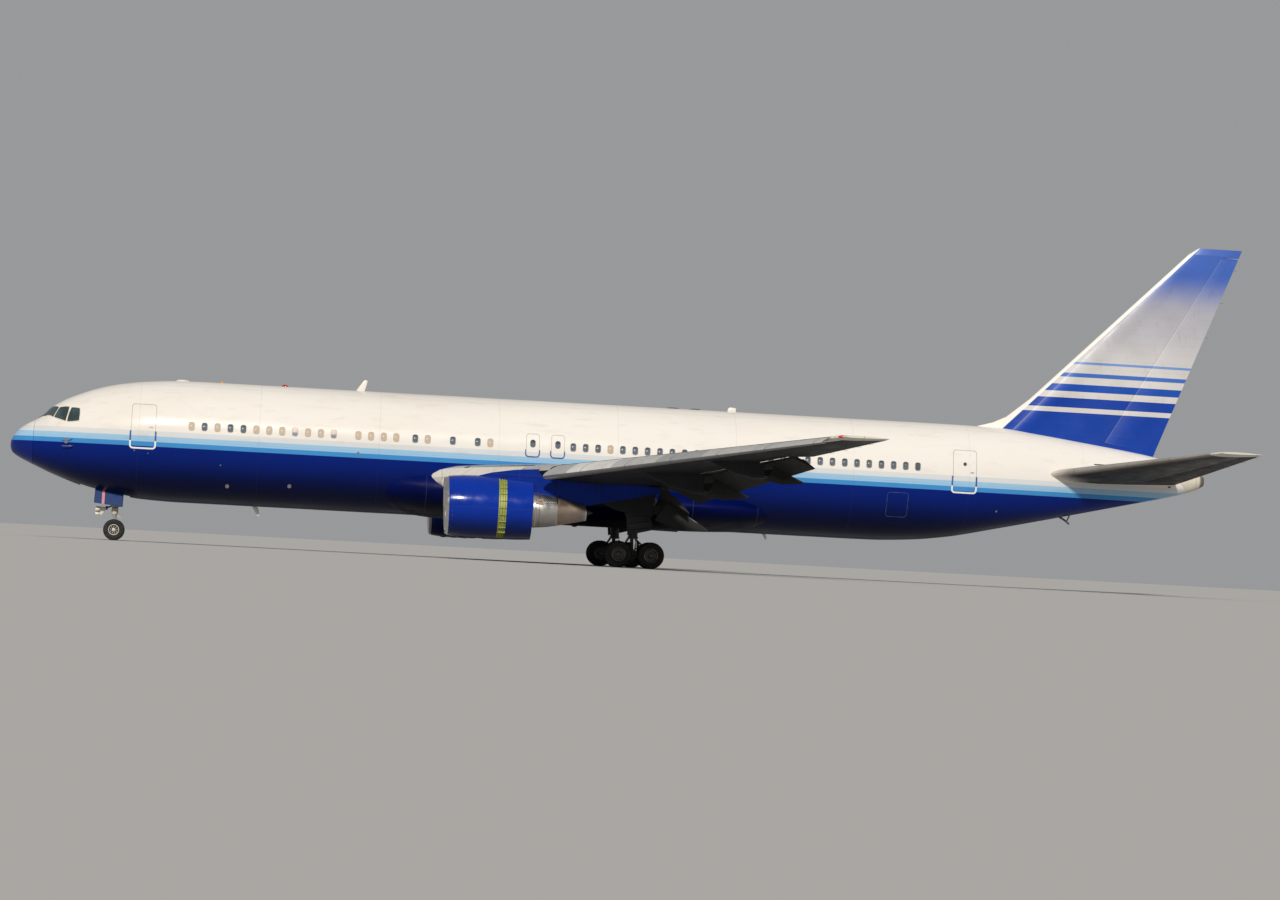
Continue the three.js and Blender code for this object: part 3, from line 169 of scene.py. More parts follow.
def banded(finish, axis, bands, blend="CONSTANT"):
    """Paints level bands: colours from rows of the level where each starts, lowest first."""
    tree = finish.node_tree
    level = add(tree, "SeparateXYZ", {0: place_on(finish)}).outputs[axis]
    low, high = bands[0][0], bands[-1][0]
    share = add(tree, "MapRange", {0: level, 1: low, 2: high, 3: 0.0, 4: 1.0}).outputs[0]
    ramp = add(tree, "ValToRGB", {0: share})
    ramp.color_ramp.interpolation = blend
    while len(ramp.color_ramp.elements) < len(bands):
        ramp.color_ramp.elements.new(1)
    for stop, (start, colour) in zip(ramp.color_ramp.elements, bands):
        stop.position = (start - low) / (high - low)
        stop.color = (*colour, 1)
    tint(finish, 1.0, ramp.outputs[0])


def mottled(finish, scale, colour, low, high, strength, stretch=(1, 1, 1), mode="MIX"):
    """Soft irregular patches of another colour, such as dust, soot, old paint, or the painted reflection on the cockpit
    glass.
    """
    tree = finish.node_tree
    where = add(tree, "Mapping", {0: place_on(finish), 3: stretch}).outputs[0]
    noise = add(tree, "TexNoise", {0: where, "Scale": scale, "Detail": 6.0, "Roughness": 0.6}).outputs[0]
    amount = add(tree, "MapRange", {0: noise, 1: low, 2: high, 3: 0.0, 4: strength}).outputs[0]
    tint(finish, amount, colour, mode)


def uneven_gloss(finish, scale, low, high):
    """Gloss that changes from place to place, as on a washed and weathered skin."""
    tree = finish.node_tree
    noise = add(tree, "TexNoise", {0: place_on(finish), "Scale": scale, "Detail": 5.0}).outputs[0]
    rough = add(tree, "MapRange", {0: noise, 1: 0.3, 2: 0.7, 3: low, 4: high}).outputs[0]
    tree.links.new(rough, tree.nodes["Principled BSDF"].inputs["Roughness"])


SEAM_DARK = (0.05, 0.05, 0.06)


def over_bumps(finish, bump):
    """Lays a bump over those that the finish has so far."""
    tree = finish.node_tree
    normal = tree.nodes["Principled BSDF"].inputs["Normal"]
    if normal.links:
        tree.links.new(normal.links[0].from_socket, bump.inputs["Normal"])
    tree.links.new(bump.outputs[0], normal)


def seam_lines(finish, rows, strength, depth=0.004):
    """Fine joints between panels, each row an axis, a spacing, an offset and a half width in metres."""
    tree = finish.node_tree
    axes = add(tree, "SeparateXYZ", {0: place_on(finish)})
    lines = None
    for axis, spacing, offset, half in rows:
        moved = add(tree, "Math", {0: axes.outputs[axis], 1: offset}, operation="ADD").outputs[0]
        away = add(tree, "Math", {0: moved, 1: spacing}, operation="PINGPONG").outputs[0]
        line = add(tree, "MapRange", {0: away, 1: half, 2: half * 2.2, 3: 1.0, 4: 0.0}).outputs[0]
        lines = line if lines is None else add(tree, "Math", {0: lines, 1: line}, operation="MAXIMUM").outputs[0]
    tint(finish, add(tree, "Math", {0: lines, 1: strength}, operation="MULTIPLY").outputs[0], SEAM_DARK)
    over_bumps(finish, add(tree, "Bump", {"Strength": 0.5, "Distance": depth, "Height": lines}, invert=True))


def ripple(finish, scale, depth, stretch=(1, 1, 1)):
    """Slight waves or grain in the surface."""
    tree = finish.node_tree
    where = add(tree, "Mapping", {0: place_on(finish), 3: stretch}).outputs[0]
    noise = add(tree, "TexNoise", {0: where, "Scale": scale, "Detail": 2.0}).outputs[0]
    over_bumps(finish, add(tree, "Bump", {"Strength": 0.6, "Distance": depth, "Height": noise}))


def faded(finish, axis, low, high, at_low, at_high, colour, mode="MIX"):
    """A gradient of a colour laid over what the finish has, its cover given at two levels."""
    tree = finish.node_tree
    level = add(tree, "SeparateXYZ", {0: place_on(finish)}).outputs[axis]
    share = add(tree, "MapRange", {0: level, 1: low, 2: high, 3: at_low, 4: at_high},
                interpolation_type="SMOOTHSTEP").outputs[0]
    tint(finish, share, colour, mode)


WHITE = (0.76, 0.72, 0.668)
PALE = (0.62, 0.635, 0.645)
LIGHT_BLUE = (0.305, 0.505, 0.69)
MID_BLUE = (0.052, 0.25, 0.57)
ROYAL = (0.0008, 0.013, 0.165)
# columns: level where the band starts on the model, colour
LIVERY = [(0.80, ROYAL), (2.092, MID_BLUE), (2.204, LIGHT_BLUE), (2.318, PALE), (2.44, WHITE), (3.7, WHITE)]
BELLY_PAINTED_SHADE = (0.10, 0.10, 0.10)

skin_paint = new_finish("livery_paint", WHITE, 0.3, shine=0.13)
banded(skin_paint, 2, LIVERY)
# Painted shade: the belly's blue is darkened towards the keel.
faded(skin_paint, 2, 1.2, 2.06, 0.93, 0.0, BELLY_PAINTED_SHADE, "MULTIPLY")
mottled(skin_paint, 0.5, (0.80, 0.76, 0.70), 0.45, 0.8, 0.5, stretch=(0.3, 1, 1), mode="MULTIPLY")
mottled(skin_paint, 7, (0.72, 0.66, 0.58), 0.55, 0.85, 0.45, stretch=(0.25, 1, 1), mode="MULTIPLY")
seam_lines(skin_paint, [(0, 1.32, 0.35, 0.0035), (2, 0.62, 0.235, 0.0025)], strength=0.13, depth=0.002)
uneven_gloss(skin_paint, 0.9, 0.16, 0.34)
ripple(skin_paint, 1.6, 0.006, stretch=(0.6, 1, 1))

RADOME_JOINT = 1.03
RADOME_GAP = 0.006  # from the joint to each of the two skins
BARREL_START = 9.5
BARREL_END = 36.5
TAIL_CONE_JOINT = 52.35
TAIL_CONE_GAP = 0.004
TAIL_END = 53.67
# columns: station, half width, top, widest level, bottom
BODY = [
    (0, 0.02, 4.03, 4.01, 3.99), (0.025, 0.19, 4.20, 4.01, 3.83), (0.09, 0.345, 4.365, 4.012, 3.685),
    (0.23, 0.545, 4.575, 4.02, 3.57), (0.45, 0.775, 4.79, 4.035, 3.44), (0.76, 1.01, 5.00, 4.06, 3.29),
    (1.03, 1.18, 5.15, 4.085, 3.17), (1.4, 1.375, 5.39, 4.12, 3.01), (1.75, 1.54, 5.76, 4.17, 2.86),
    (2.2, 1.725, 6.06, 4.24, 2.69), (3.0, 1.98, 6.43, 4.38, 2.41), (3.9, 2.18, 6.75, 4.52, 2.175),
    (4.9, 2.335, 6.98, 4.62, 2.005), (6.0, 2.45, 7.13, 4.69, 1.88), (7.5, 2.515, 7.23, 4.722, 1.83),
    (9.5, 2.515, 7.24, 4.725, 1.83), (36.5, 2.515, 7.24, 4.725, 1.83), (38.6, 2.48, 7.24, 4.74, 1.84),
    (40.3, 2.385, 7.24, 4.78, 1.93), (42.0, 2.235, 7.235, 4.83, 2.145), (44.0, 1.99, 7.21, 4.9, 2.57),
    (46.0, 1.7, 7.02, 4.975, 3.03), (48.0, 1.38, 6.76, 5.05, 3.5), (50.0, 1.05, 6.48, 5.13, 3.975),
    (51.3, 0.825, 6.27, 5.18, 4.28), (52.35, 0.62, 6.0, 5.22, 4.54), (53.0, 0.455, 5.79, 5.25, 4.74),
    (53.45, 0.32, 5.6, 5.26, 4.93), (53.67, 0.215, 5.465, 5.265, 5.065),
]


def drawn_through(rows, x):
    """The row at x on smooth curves through a table, which never overshoot it."""
    t = [math.sqrt(row[0] - rows[0][0]) for row in rows]
    here = math.sqrt(min(max(x, rows[0][0]), rows[-1][0]) - rows[0][0])
    k = max(i for i in range(len(t) - 1) if t[i] <= here or i == 0)
    h = t[k + 1] - t[k]
    u = (here - t[k]) / h
    values = []
    for c in range(1, len(rows[0])):
        slope = [(rows[i + 1][c] - rows[i][c]) / (t[i + 1] - t[i]) for i in range(len(t) - 1)]

        def lean(i):
            if i in (0, len(t) - 1):
                return slope[min(i, len(slope) - 1)]
            a, b = slope[i - 1], slope[i]
            return 0 if a * b <= 0 else 2 * a * b / (a + b)

        p, q, m, n = rows[k][c], rows[k + 1][c], lean(k) * h, lean(k + 1) * h
        values.append((2 * u ** 3 - 3 * u ** 2 + 1) * p + (u ** 3 - 2 * u ** 2 + u) * m
                      + (3 * u ** 2 - 2 * u ** 3) * q + (u ** 3 - u ** 2) * n)
    return values


def on_ring(rows, x, angle):
    """A point of an oval skin: x by station, the angle up from level to port."""
    half, top, middle, bottom = drawn_through(rows, x)
    rise = (top - middle if math.sin(angle) > 0 else middle - bottom) * math.sin(angle)
    return place(x, -half * math.cos(angle), middle + rise)


# The tail cone's joint leans by this share of the height from this level, and the rings ahead of it from here on.
JOINT_LEAN = 0.72
JOINT_LEVEL = 5.377
LEAN_START = 50


def tube(name, rows, stations, sides=96, leaning=None):
    """A closed tube: a cylinder cut into rings, and each ring drawn to the table, leaning by a share."""
    only(floor)
    bpy.ops.mesh.primitive_cylinder_add(vertices=sides, radius=1, depth=2, rotation=(0, math.pi / 2, 0))
    piece = named(name)
    bpy.ops.object.transform_apply(rotation=True)
    bpy.ops.object.mode_set(mode="EDIT")
    shell = bmesh.from_edit_mesh(piece.data)
    bpy.ops.mesh.select_all(action="DESELECT")
    for edge in shell.edges:
        edge.select = abs(edge.verts[0].co.x - edge.verts[1].co.x) > 1
    bmesh.update_edit_mesh(piece.data)
    bpy.ops.mesh.subdivide(number_cuts=len(stations) - 2)
    bpy.ops.object.mode_set(mode="OBJECT")
    for vertex in piece.data.vertices:
        ring = round((vertex.co.x + 1) / 2 * (len(stations) - 1))
        angle = math.atan2(vertex.co.z, -vertex.co.y)
        vertex.co = on_ring(rows, stations[ring], angle)
        if leaning:
            lean = JOINT_LEAN * (JOINT_LEVEL - vertex.co.z * 2) * leaning(stations[ring])
            vertex.co = on_ring(rows, stations[ring] + lean, angle)
    return piece


def spread(start, end, count, power=1.0):
    """Stations from start to end, closer together at the start for a power above one."""
    return [start + (end - start) * (i / count) ** power for i in range(count + 1)]


fuselage = tube("fuselage_skin", BODY, spread(RADOME_JOINT + RADOME_GAP, BARREL_START, 48)
                + spread(BARREL_START, BARREL_END, 24)[1:]
                + spread(BARREL_END, TAIL_CONE_JOINT - TAIL_CONE_GAP, 60)[1:],
                leaning=lambda x: max(0.0, (x - LEAN_START) / (TAIL_CONE_JOINT - LEAN_START)))


def cut_box(piece, low, high):
    """Cuts a box shaped opening, from its lowest to its highest corner on the full size aircraft."""
    a, b = place(*low), place(*high)
    bpy.ops.mesh.primitive_cube_add(size=1, location=(a + b) / 2, scale=b - a)
    tool = bpy.context.object
    only(piece)
    bpy.ops.object.modifier_add(type="BOOLEAN")
    piece.modifiers[-1].object = tool
    bpy.ops.object.modifier_apply(modifier=piece.modifiers[-1].name)
    bpy.data.objects.remove(tool)


WELL = (3.15, -0.47, 1.0), (5.38, 0.47, 3.25)  # its lowest and its highest corner
WELL_SIDE_Y = 0.232  # past it, and above the roof level, a face belongs to the well and not to the skin
WELL_ROOF_Z = 1.6
cut_box(fuselage, *WELL)
well_primer = new_finish("well_primer", (0.20, 0.21, 0.19), 0.6)
mottled(well_primer, 8, (0.06, 0.055, 0.045), 0.45, 0.75, 0.8)
seam_lines(well_primer, [(0, 0.07, 0.0, 0.004), (2, 0.09, 0.02, 0.003)], strength=0.6, depth=0.006)
fuselage.data.materials.append(skin_paint)
fuselage.data.materials.append(well_primer)
low, high = place(*WELL[0]), place(*WELL[1])
for face in fuselage.data.polygons:
    middle = face.center
    inside = all(low[i] - 0.002 < middle[i] < high[i] + 0.002 for i in range(3))
    wall = abs(middle.y) > WELL_SIDE_Y or abs(face.normal.x) > 0.9 or middle.z > WELL_ROOF_Z
    face.material_index = 1 if inside and wall else 0
fit(fuselage, "airframe", None, ["fuselage"], smooth=30)

# ---------------------------------------------------------------- radome
# The nose is one moulded fibreglass shell over the weather radar, latched to the first frame
# and painted like the fuselage. Its joint shows as a fine dark gap.
radome = tube("radome_shell", BODY, spread(0, RADOME_JOINT - RADOME_GAP, 40, 2.0))
radome_paint = new_finish("radome_paint", ROYAL, 0.28, shine=0.22)
banded(radome_paint, 2, LIVERY)
mottled(radome_paint, 6, (0.7, 0.68, 0.64), 0.5, 0.85, 0.5, mode="MULTIPLY")
uneven_gloss(radome_paint, 2.5, 0.2, 0.36)
ripple(radome_paint, 30, 0.0006)
fit(radome, "airframe", radome_paint, ["radome"], smooth=45)

# ---------------------------------------------------------------- tail cone
# A cream painted metal cone closes the tail behind a leaning joint. The auxiliary turbine blows out
# through a dark heat stained ring at its end.
CREAM = (0.70, 0.65, 0.56)
BURNT = (0.05, 0.045, 0.04)
EXHAUST_RIM = 0.012
EXHAUST_DEPTH = 0.12
tail_cone = tube("tail_cone_shell", BODY, spread(TAIL_CONE_JOINT + TAIL_CONE_GAP, TAIL_END, 24),
                 leaning=lambda x: (TAIL_END - x) / (TAIL_END - TAIL_CONE_JOINT))
bpy.ops.object.mode_set(mode="EDIT")
shell = bmesh.from_edit_mesh(tail_cone.data)
bpy.ops.mesh.select_all(action="DESELECT")
max(shell.faces, key=lambda face: face.calc_center_median().x).select = True
bmesh.update_edit_mesh(tail_cone.data)
bpy.ops.mesh.inset(thickness=EXHAUST_RIM)
bpy.ops.mesh.extrude_region_move(TRANSFORM_OT_translate={"value": (-EXHAUST_DEPTH, 0, 0)})
bpy.ops.object.mode_set(mode="OBJECT")
cone_paint = new_finish("tail_cone_paint", CREAM, 0.38, shine=0.3)
banded(cone_paint, 0, [(12.2, CREAM), (12.98, (0.60, 0.54, 0.44)), (13.02, (0.16, 0.14, 0.12)),
                       (13.11, BURNT), (13.2, BURNT)], "LINEAR")
mottled(cone_paint, 3, (0.32, 0.26, 0.20), 0.5, 0.8, 0.4, stretch=(0.5, 1, 1))
seam_lines(cone_paint, [(0, 0.31, 0.11, 0.003), (2, 0.5, 0.15, 0.002)], strength=0.4)
fit(tail_cone, "airframe", cone_paint, ["tail_cone"], smooth=30)

# ---------------------------------------------------------------- cabin windows
# Each window is a rounded acrylic pane in a forged aluminium frame that sits in the skin between two
# body frames, alike on both sides. A moulded blind is drawn down behind some of them.
WINDOW_WIDTH = 0.27
WINDOW_HEIGHT = 0.38
WINDOW_LEVEL = 5.19
# stations of the windows, ahead of the overwing exits and behind them, and which of them have their blind down
AHEAD_OF_EXITS = ([7.95 + 0.567 * k for k in range(12)]
                  + [15.27, 15.83, 16.39, 16.94, 17.78, 18.33, 19.44, 20.54, 21.10])
BEHIND_EXITS = [24.78 + 0.5515 * k for k in range(29)]
BLINDS_DOWN = {0, 2, 5, 6, 7, 9, 10, 12, 13, 14, 15, 17, 20, 24}
BLINDS_HALF = {8, 11}


def rounded(width, height, corner, step):
    """Points round an oblong with rounded corners, its straight sides in steps."""
    points = []
    for quarter in range(4):
        sx, sz = ((1, 1), (-1, 1), (-1, -1), (1, -1))[quarter]
        for k in range(5):
            angle = math.radians(90 * quarter + 22.5 * k)
            points.append((sx * (width / 2 - corner) + corner * math.cos(angle),
                           sz * (height / 2 - corner) + corner * math.sin(angle)))
        end = (points[-1][0], points[-1][1])
        long = (width if quarter in (0, 2) else height) - 2 * corner
        pieces = max(1, round(long / step))
        way = ((-1, 0), (0, -1), (1, 0), (0, 1))[quarter]
        points += [(end[0] + way[0] * long * k / pieces, end[1] + way[1] * long * k / pieces)
                   for k in range(1, pieces)]
    return points


def flat_plate(name, points, thick):
    """A plate upright in XZ through its outline's points, its face towards -Y; the face is left selected."""
    only(floor)
    bpy.ops.mesh.primitive_circle_add(vertices=len(points), radius=1, fill_type="NGON")
    piece = named(name)
    order = sorted(piece.data.vertices, key=lambda v: math.atan2(v.co.y, v.co.x) % (2 * math.pi))
    for vertex, (x, z) in zip(order, points):
        vertex.co = (x, 0, z)
    bpy.ops.object.mode_set(mode="EDIT")
    bpy.ops.mesh.select_all(action="SELECT")
    bpy.ops.mesh.extrude_region_move(TRANSFORM_OT_translate={"value": (0, -thick, 0)})
    return piece


def closed(piece):
    """Ends work on a piece: its doubles merged and its faces turned outwards."""
    only(piece)
    bpy.ops.object.mode_set(mode="EDIT")
    bpy.ops.mesh.select_all(action="SELECT")
    bpy.ops.mesh.remove_doubles(threshold=0.00002)
    bpy.ops.mesh.normals_make_consistent(inside=False)
    bpy.ops.object.mode_set(mode="OBJECT")
    return piece


def on_side(x, z, proud):
    """A point of the fuselage's port side by its station and level, standing proud of the skin."""
    def at(x, z):
        half, top, middle, bottom = drawn_through(BODY, x)
        share = (z - middle) / (top - middle if z > middle else middle - bottom)
        return place(x, -half * math.sqrt(max(0.0, 1 - share * share)), z)
    here = at(x, z)
    return here + (at(x + 0.01, z) - here).cross(at(x, z + 0.01) - here).normalized() * proud / 2


FOOT_SINK = 0.004


def laid_on_side(piece, x, z, sides):
    """Copies of a flat piece laid on the fuselage's sides at a station and level, its foot sunk in the skin."""
    copies = []
    for side in sides:
        copy = bpy.data.objects.new(piece.name, piece.data.copy())
        bpy.context.scene.collection.objects.link(copy)
        for vertex in copy.data.vertices:
            vertex.co = on_side(x + vertex.co.x, z + vertex.co.z, -vertex.co.y - FOOT_SINK)
            vertex.co.y *= side
        copies.append(closed(copy))
    return copies


def joined(pieces, name):
    """Several loose solids as one piece."""
    only(pieces[0])
    for piece in pieces:
        piece.select_set(True)
    bpy.ops.object.join()
    return named(name)


window = flat_plate("window", rounded(WINDOW_WIDTH, WINDOW_HEIGHT, 0.10, 0.2), 0.014)
bpy.ops.mesh.inset(thickness=0.020)
bpy.ops.mesh.extrude_region_move(TRANSFORM_OT_translate={"value": (0, 0.006, 0)})
bpy.ops.mesh.inset(thickness=0.004)
closed(window)
window.data.materials.append(None)
window.data.materials.append(None)
for face in window.data.polygons:
    face.material_index = 1 if face.normal.y < -0.9 and -0.009 < face.center.y < -0.007 else 0

rim_metal = new_finish("window_rim_metal", (0.40, 0.39, 0.37), 0.45, shine=0.2)
mottled(rim_metal, 20, (0.32, 0.32, 0.32), 0.5, 0.8, 0.4)
PANE_TOP_PAINTED_SHADE = (0.030, 0.038, 0.046)
PANE_LIT = (0.125, 0.145, 0.172)
BLIND_CREAM = (0.46, 0.345, 0.235)
clear_pane = new_finish("window_acrylic", PANE_LIT, 0.08)
mottled(clear_pane, 4, (0.06, 0.075, 0.09), 0.4, 0.8, 0.8)
# Painted shade: the top of each clear pane is darkened.
faded(clear_pane, 2, WINDOW_LEVEL / 2 + 0.045, WINDOW_LEVEL / 2 + 0.07, 0.0, 0.75, PANE_TOP_PAINTED_SHADE)
ripple(clear_pane, 12, 0.001)
blind = new_finish("window_blind", BLIND_CREAM, 0.4, shine=0.2)
mottled(blind, 10, (0.54, 0.43, 0.32), 0.45, 0.8, 0.5)
ripple(blind, 12, 0.001)
half_blind = new_finish("window_half_blind", PANE_LIT, 0.25)
faded(half_blind, 2, WINDOW_LEVEL / 2 - 0.014, WINDOW_LEVEL / 2 - 0.008, 0.0, 1.0, BLIND_CREAM)
mottled(half_blind, 10, (0.2, 0.17, 0.13), 0.5, 0.8, 0.3)
for name, pane, wanted in (("windows_clear", clear_pane, None), ("windows_with_blinds", blind, BLINDS_DOWN),
                           ("windows_half_shut", half_blind, BLINDS_HALF)):
    window.data.materials[0] = rim_metal
    window.data.materials[1] = pane
    pieces = []
    for k, x in enumerate(AHEAD_OF_EXITS + BEHIND_EXITS):
        if k in wanted if wanted else k not in BLINDS_DOWN | BLINDS_HALF:
            pieces += laid_on_side(window, x, WINDOW_LEVEL, (1, -1))
    fit(joined(pieces, name), "airframe", None, smooth=35)
bpy.data.objects.remove(window)

# ---------------------------------------------------------------- cockpit windows
# Six laminated glass panes in a forged frame: two windscreens and two side panes on each side, bolted in
# from outside against a dark sealing strip.
# columns: for each corner of a pane, station and angle up from level in degrees, from the lower front corner
# round by the top
PANES = [
    [(1.17, 86.0), (1.565, 86.0), (2.05, 59.5), (1.845, 42.5)],
    [(1.935, 40.5), (2.135, 56.0), (2.515, 49.0), (2.41, 27.5)],
    [(2.51, 26.1), (2.655, 45.7), (2.99, 40.0), (3.0, 23.6)],
]


def on_skin(x, angle, proud):
    """A point of the fuselage's skin by its station and angle, standing proud of it."""
    here = on_ring(BODY, x, angle)
    along = on_ring(BODY, x + 0.01, angle) - here
    return here + along.cross(on_ring(BODY, x, angle + 0.01) - here).normalized() * proud / 2


def laid_pane(name, corners, grow, low, high, side, rounding=0.05):
    """A closed curved pane over four corners, grown past them, from low to high above the skin."""
    only(floor)
    bpy.ops.mesh.primitive_grid_add(x_subdivisions=10, y_subdivisions=8, size=2)
    piece = named(name)
    (xa, aa), (xb, ab), (xc, ac), (xd, ad) = corners
    middle = (sum(c[0] for c in corners) / 4, sum(c[1] for c in corners) / 4)
    for vertex in piece.data.vertices:
        u, v = vertex.co.x, vertex.co.y
        trim = 1 - rounding * (u * v) ** 2 * 0.5
        u, v = (u * trim + 1) / 2, (v * trim + 1) / 2
        x = (1 - u) * ((1 - v) * xa + v * xb) + u * ((1 - v) * xd + v * xc)
        angle = (1 - u) * ((1 - v) * aa + v * ab) + u * ((1 - v) * ad + v * ac)
        radius = drawn_through(BODY, x)[0]
        away = Vector((x - middle[0], math.radians(angle - middle[1]) * radius))
        away = away.normalized() * grow * max(abs(2 * u - 1), abs(2 * v - 1))
        vertex.co = on_skin(x + away.x, math.radians(angle) + away.y / radius, low)
        vertex.co.y *= side
    closed(piece)
    bpy.ops.object.modifier_add(type="SOLIDIFY")
    piece.modifiers[-1].thickness = (high - low) / 2
    piece.modifiers[-1].offset = -1.0 if side * piece.data.polygons[0].normal.y > 0 else 1.0
    bpy.ops.object.modifier_apply(modifier=piece.modifiers[-1].name)
    return closed(piece)


glass = new_finish("cockpit_glass", (0.022, 0.045, 0.050), 0.05)
# Painted reflection: lighter patches on the dark glass.
mottled(glass, 3.0, (0.10, 0.14, 0.14), 0.4, 0.75, 0.7, stretch=(1, 1, 0.6))
ripple(glass, 4, 0.002)
seal = new_finish("cockpit_seal", (0.045, 0.042, 0.038), 0.6)
mottled(seal, 25, (0.16, 0.13, 0.10), 0.5, 0.8, 0.5)
post_paint = new_finish("cockpit_post_paint", CREAM, 0.4)
mottled(post_paint, 12, (0.40, 0.33, 0.25), 0.5, 0.8, 0.4)
panes, seals, posts = [], [], []
for side in (1, -1):
    for corners in PANES:
        panes.append(laid_pane("cockpit_pane", corners, 0.0, -0.01, 0.030, side))
        seals.append(laid_pane("cockpit_seal", corners, 0.035, -0.01, 0.022, side))
        posts.append(laid_pane("cockpit_post", corners, 0.075, -0.01, 0.012, side, 0.1))
fit(joined(panes, "cockpit_panes"), "airframe", glass, smooth=40)
fit(joined(seals, "cockpit_seals"), "airframe", seal, smooth=40)
fit(joined(posts, "cockpit_frame"), "airframe", post_paint, smooth=40)

# ---------------------------------------------------------------- doors and hatches
# Plug doors move inward and up, so only their outline shows, traced in paint round each: thin and grey
# over the white, broad and navy or white over the blue bands. Service hatches have fine outlines alone.
EXITS = (22.985, 24.095)
REAR_DOOR = 42.38
# columns: station, middle level, width, height, breadth of the broad line round its foot or 0, level up to
# which that line goes, whether it has a handle, sides
DOORS = [
    (5.85, 5.09, 1.09, 1.94, 0.072, 4.86, True, (1, -1)), (REAR_DOOR, 5.10, 1.09, 1.90, 0.072, 4.86, True, (1, -1)),
    (EXITS[0], 5.19, 0.60, 1.02, 0.055, 4.98, False, (1, -1)),
    (EXITS[1], 5.19, 0.60, 1.02, 0.055, 4.98, False, (1, -1)),
    (11.6, 3.25, 3.40, 1.60, 0.0, 0.0, False, (-1,)), (36.6, 3.25, 1.78, 1.55, 0.0, 0.0, False, (-1,)),
    (39.4, 3.45, 0.97, 1.10, 0.0, 0.0, False, (1,)),
]
LINE_GREY = (0.36, 0.35, 0.33)
BAND_GREY = (0.42, 0.43, 0.44)
line_paint = new_finish("door_line_paint", LINE_GREY, 0.45)
banded(line_paint, 2, [(1.2, (0.02, 0.035, 0.13)), (2.09, (0.02, 0.035, 0.16)), (2.45, LINE_GREY), (3.2, LINE_GREY)])
mottled(line_paint, 9, (0.30, 0.27, 0.23), 0.45, 0.8, 0.4)
broad_paint = new_finish("door_band_paint", BAND_GREY, 0.4)
banded(broad_paint, 2, [(1.9, (0.80, 0.80, 0.78)), (2.215, (0.03, 0.07, 0.26)), (2.51, BAND_GREY), (3.2, BAND_GREY)])
mottled(broad_paint, 14, (0.5, 0.5, 0.5), 0.5, 0.8, 0.3)


def outline_ring(name, width, height, corner, broad, thick, keep=None):
    """A flat ring just outside an oblong, of that breadth, or only its part below a level."""
    ring = flat_plate(name, rounded(width, height, corner, 0.09), thick)
    bpy.ops.mesh.inset(thickness=broad)
    bpy.ops.mesh.delete(type="FACE")
    shell = bmesh.from_edit_mesh(ring.data)
    for face in list(shell.faces):
        if len(face.verts) > 4:
            shell.faces.remove(face)
    bmesh.update_edit_mesh(ring.data)
    bpy.ops.mesh.select_all(action="DESELECT")
    shell = bmesh.from_edit_mesh(ring.data)
    for edge in shell.edges:
        edge.select = edge.is_boundary
    bmesh.update_edit_mesh(ring.data)
    bpy.ops.mesh.bridge_edge_loops()
    if keep is not None:
        bpy.ops.mesh.select_all(action="SELECT")
        bpy.ops.mesh.bisect(plane_co=(0, 0, keep), plane_no=(0, 0, 1), clear_outer=True, use_fill=True)
    bpy.ops.object.mode_set(mode="OBJECT")
    return closed(ring)


rings, bands = [], []
for x, z, width, height, broad, up_to, has_handle, sides in DOORS:
    thin = outline_ring("door_line", width, height, 0.13, 0.022, 0.009)
    rings += laid_on_side(thin, x, z, sides)
    bpy.data.objects.remove(thin)
    if broad:
        foot = outline_ring("door_band", width + broad * 1.2, height + broad * 1.2, 0.16, broad, 0.012, up_to - z)
        bands += laid_on_side(foot, x, z, sides)
        bpy.data.objects.remove(foot)
    if has_handle:
        handle = flat_plate("door_handle", rounded(0.17, 0.06, 0.025, 0.2), 0.010)
        bpy.ops.object.mode_set(mode="OBJECT")
        rings += laid_on_side(handle, x + width / 2 - 0.2, z - 0.05, sides)
        bpy.data.objects.remove(handle)
fit(joined(rings, "door_lines"), "airframe", line_paint, smooth=30)
fit(joined(bands, "door_bands"), "airframe", broad_paint, smooth=30)


def sunk_plate(name, points, thick, rim, sink):
    """A flat plate with its face sunk a little inside a rim."""
    plate = flat_plate(name, points, thick)
    bpy.ops.mesh.inset(thickness=rim)
    bpy.ops.mesh.extrude_region_move(TRANSFORM_OT_translate={"value": (0, sink, 0)})
    bpy.ops.object.mode_set(mode="OBJECT")
    return plate


exit_window = sunk_plate("exit_window", rounded(0.24, 0.34, 0.11, 0.2), 0.014, 0.022, 0.006)
ports = sum([laid_on_side(exit_window, x, 5.26, (1, -1)) for x in EXITS], [])
bpy.data.objects.remove(exit_window)
porthole = sunk_plate("door_porthole", rounded(0.16, 0.16, 0.078, 0.2), 0.014, 0.016, 0.006)
ports += laid_on_side(porthole, REAR_DOOR, 5.42, (1, -1))
bpy.data.objects.remove(porthole)
fit(joined(ports, "door_windows"), "airframe", clear_pane, smooth=35)

# ---------------------------------------------------------------- wing to body fairing
# A long blister of composite panels smooths the wing's root into the belly, held by rows of screws
# and painted with the belly's blue.
# columns: station, half width, top, widest level, bottom
FAIRING = [
    (16.3, 1.5, 3.9, 3.2, 2.3), (17.6, 2.43, 4.15, 3.1, 1.89), (19.0, 2.69, 4.26, 3.02, 1.76),
    (21.5, 2.79, 4.25, 2.98, 1.745), (27.8, 2.79, 3.9, 2.9, 1.745), (30.2, 2.7, 3.65, 2.85, 1.76),
    (32.4, 2.42, 3.45, 2.85, 1.85), (34.2, 1.5, 3.3, 2.8, 2.2),
]
fairing = tube("wing_body_fairing", FAIRING, spread(FAIRING[0][0], FAIRING[-1][0], 80), sides=72)
fairing_paint = new_finish("fairing_paint", (0.0006, 0.006, 0.10), 0.4, shine=0.06)
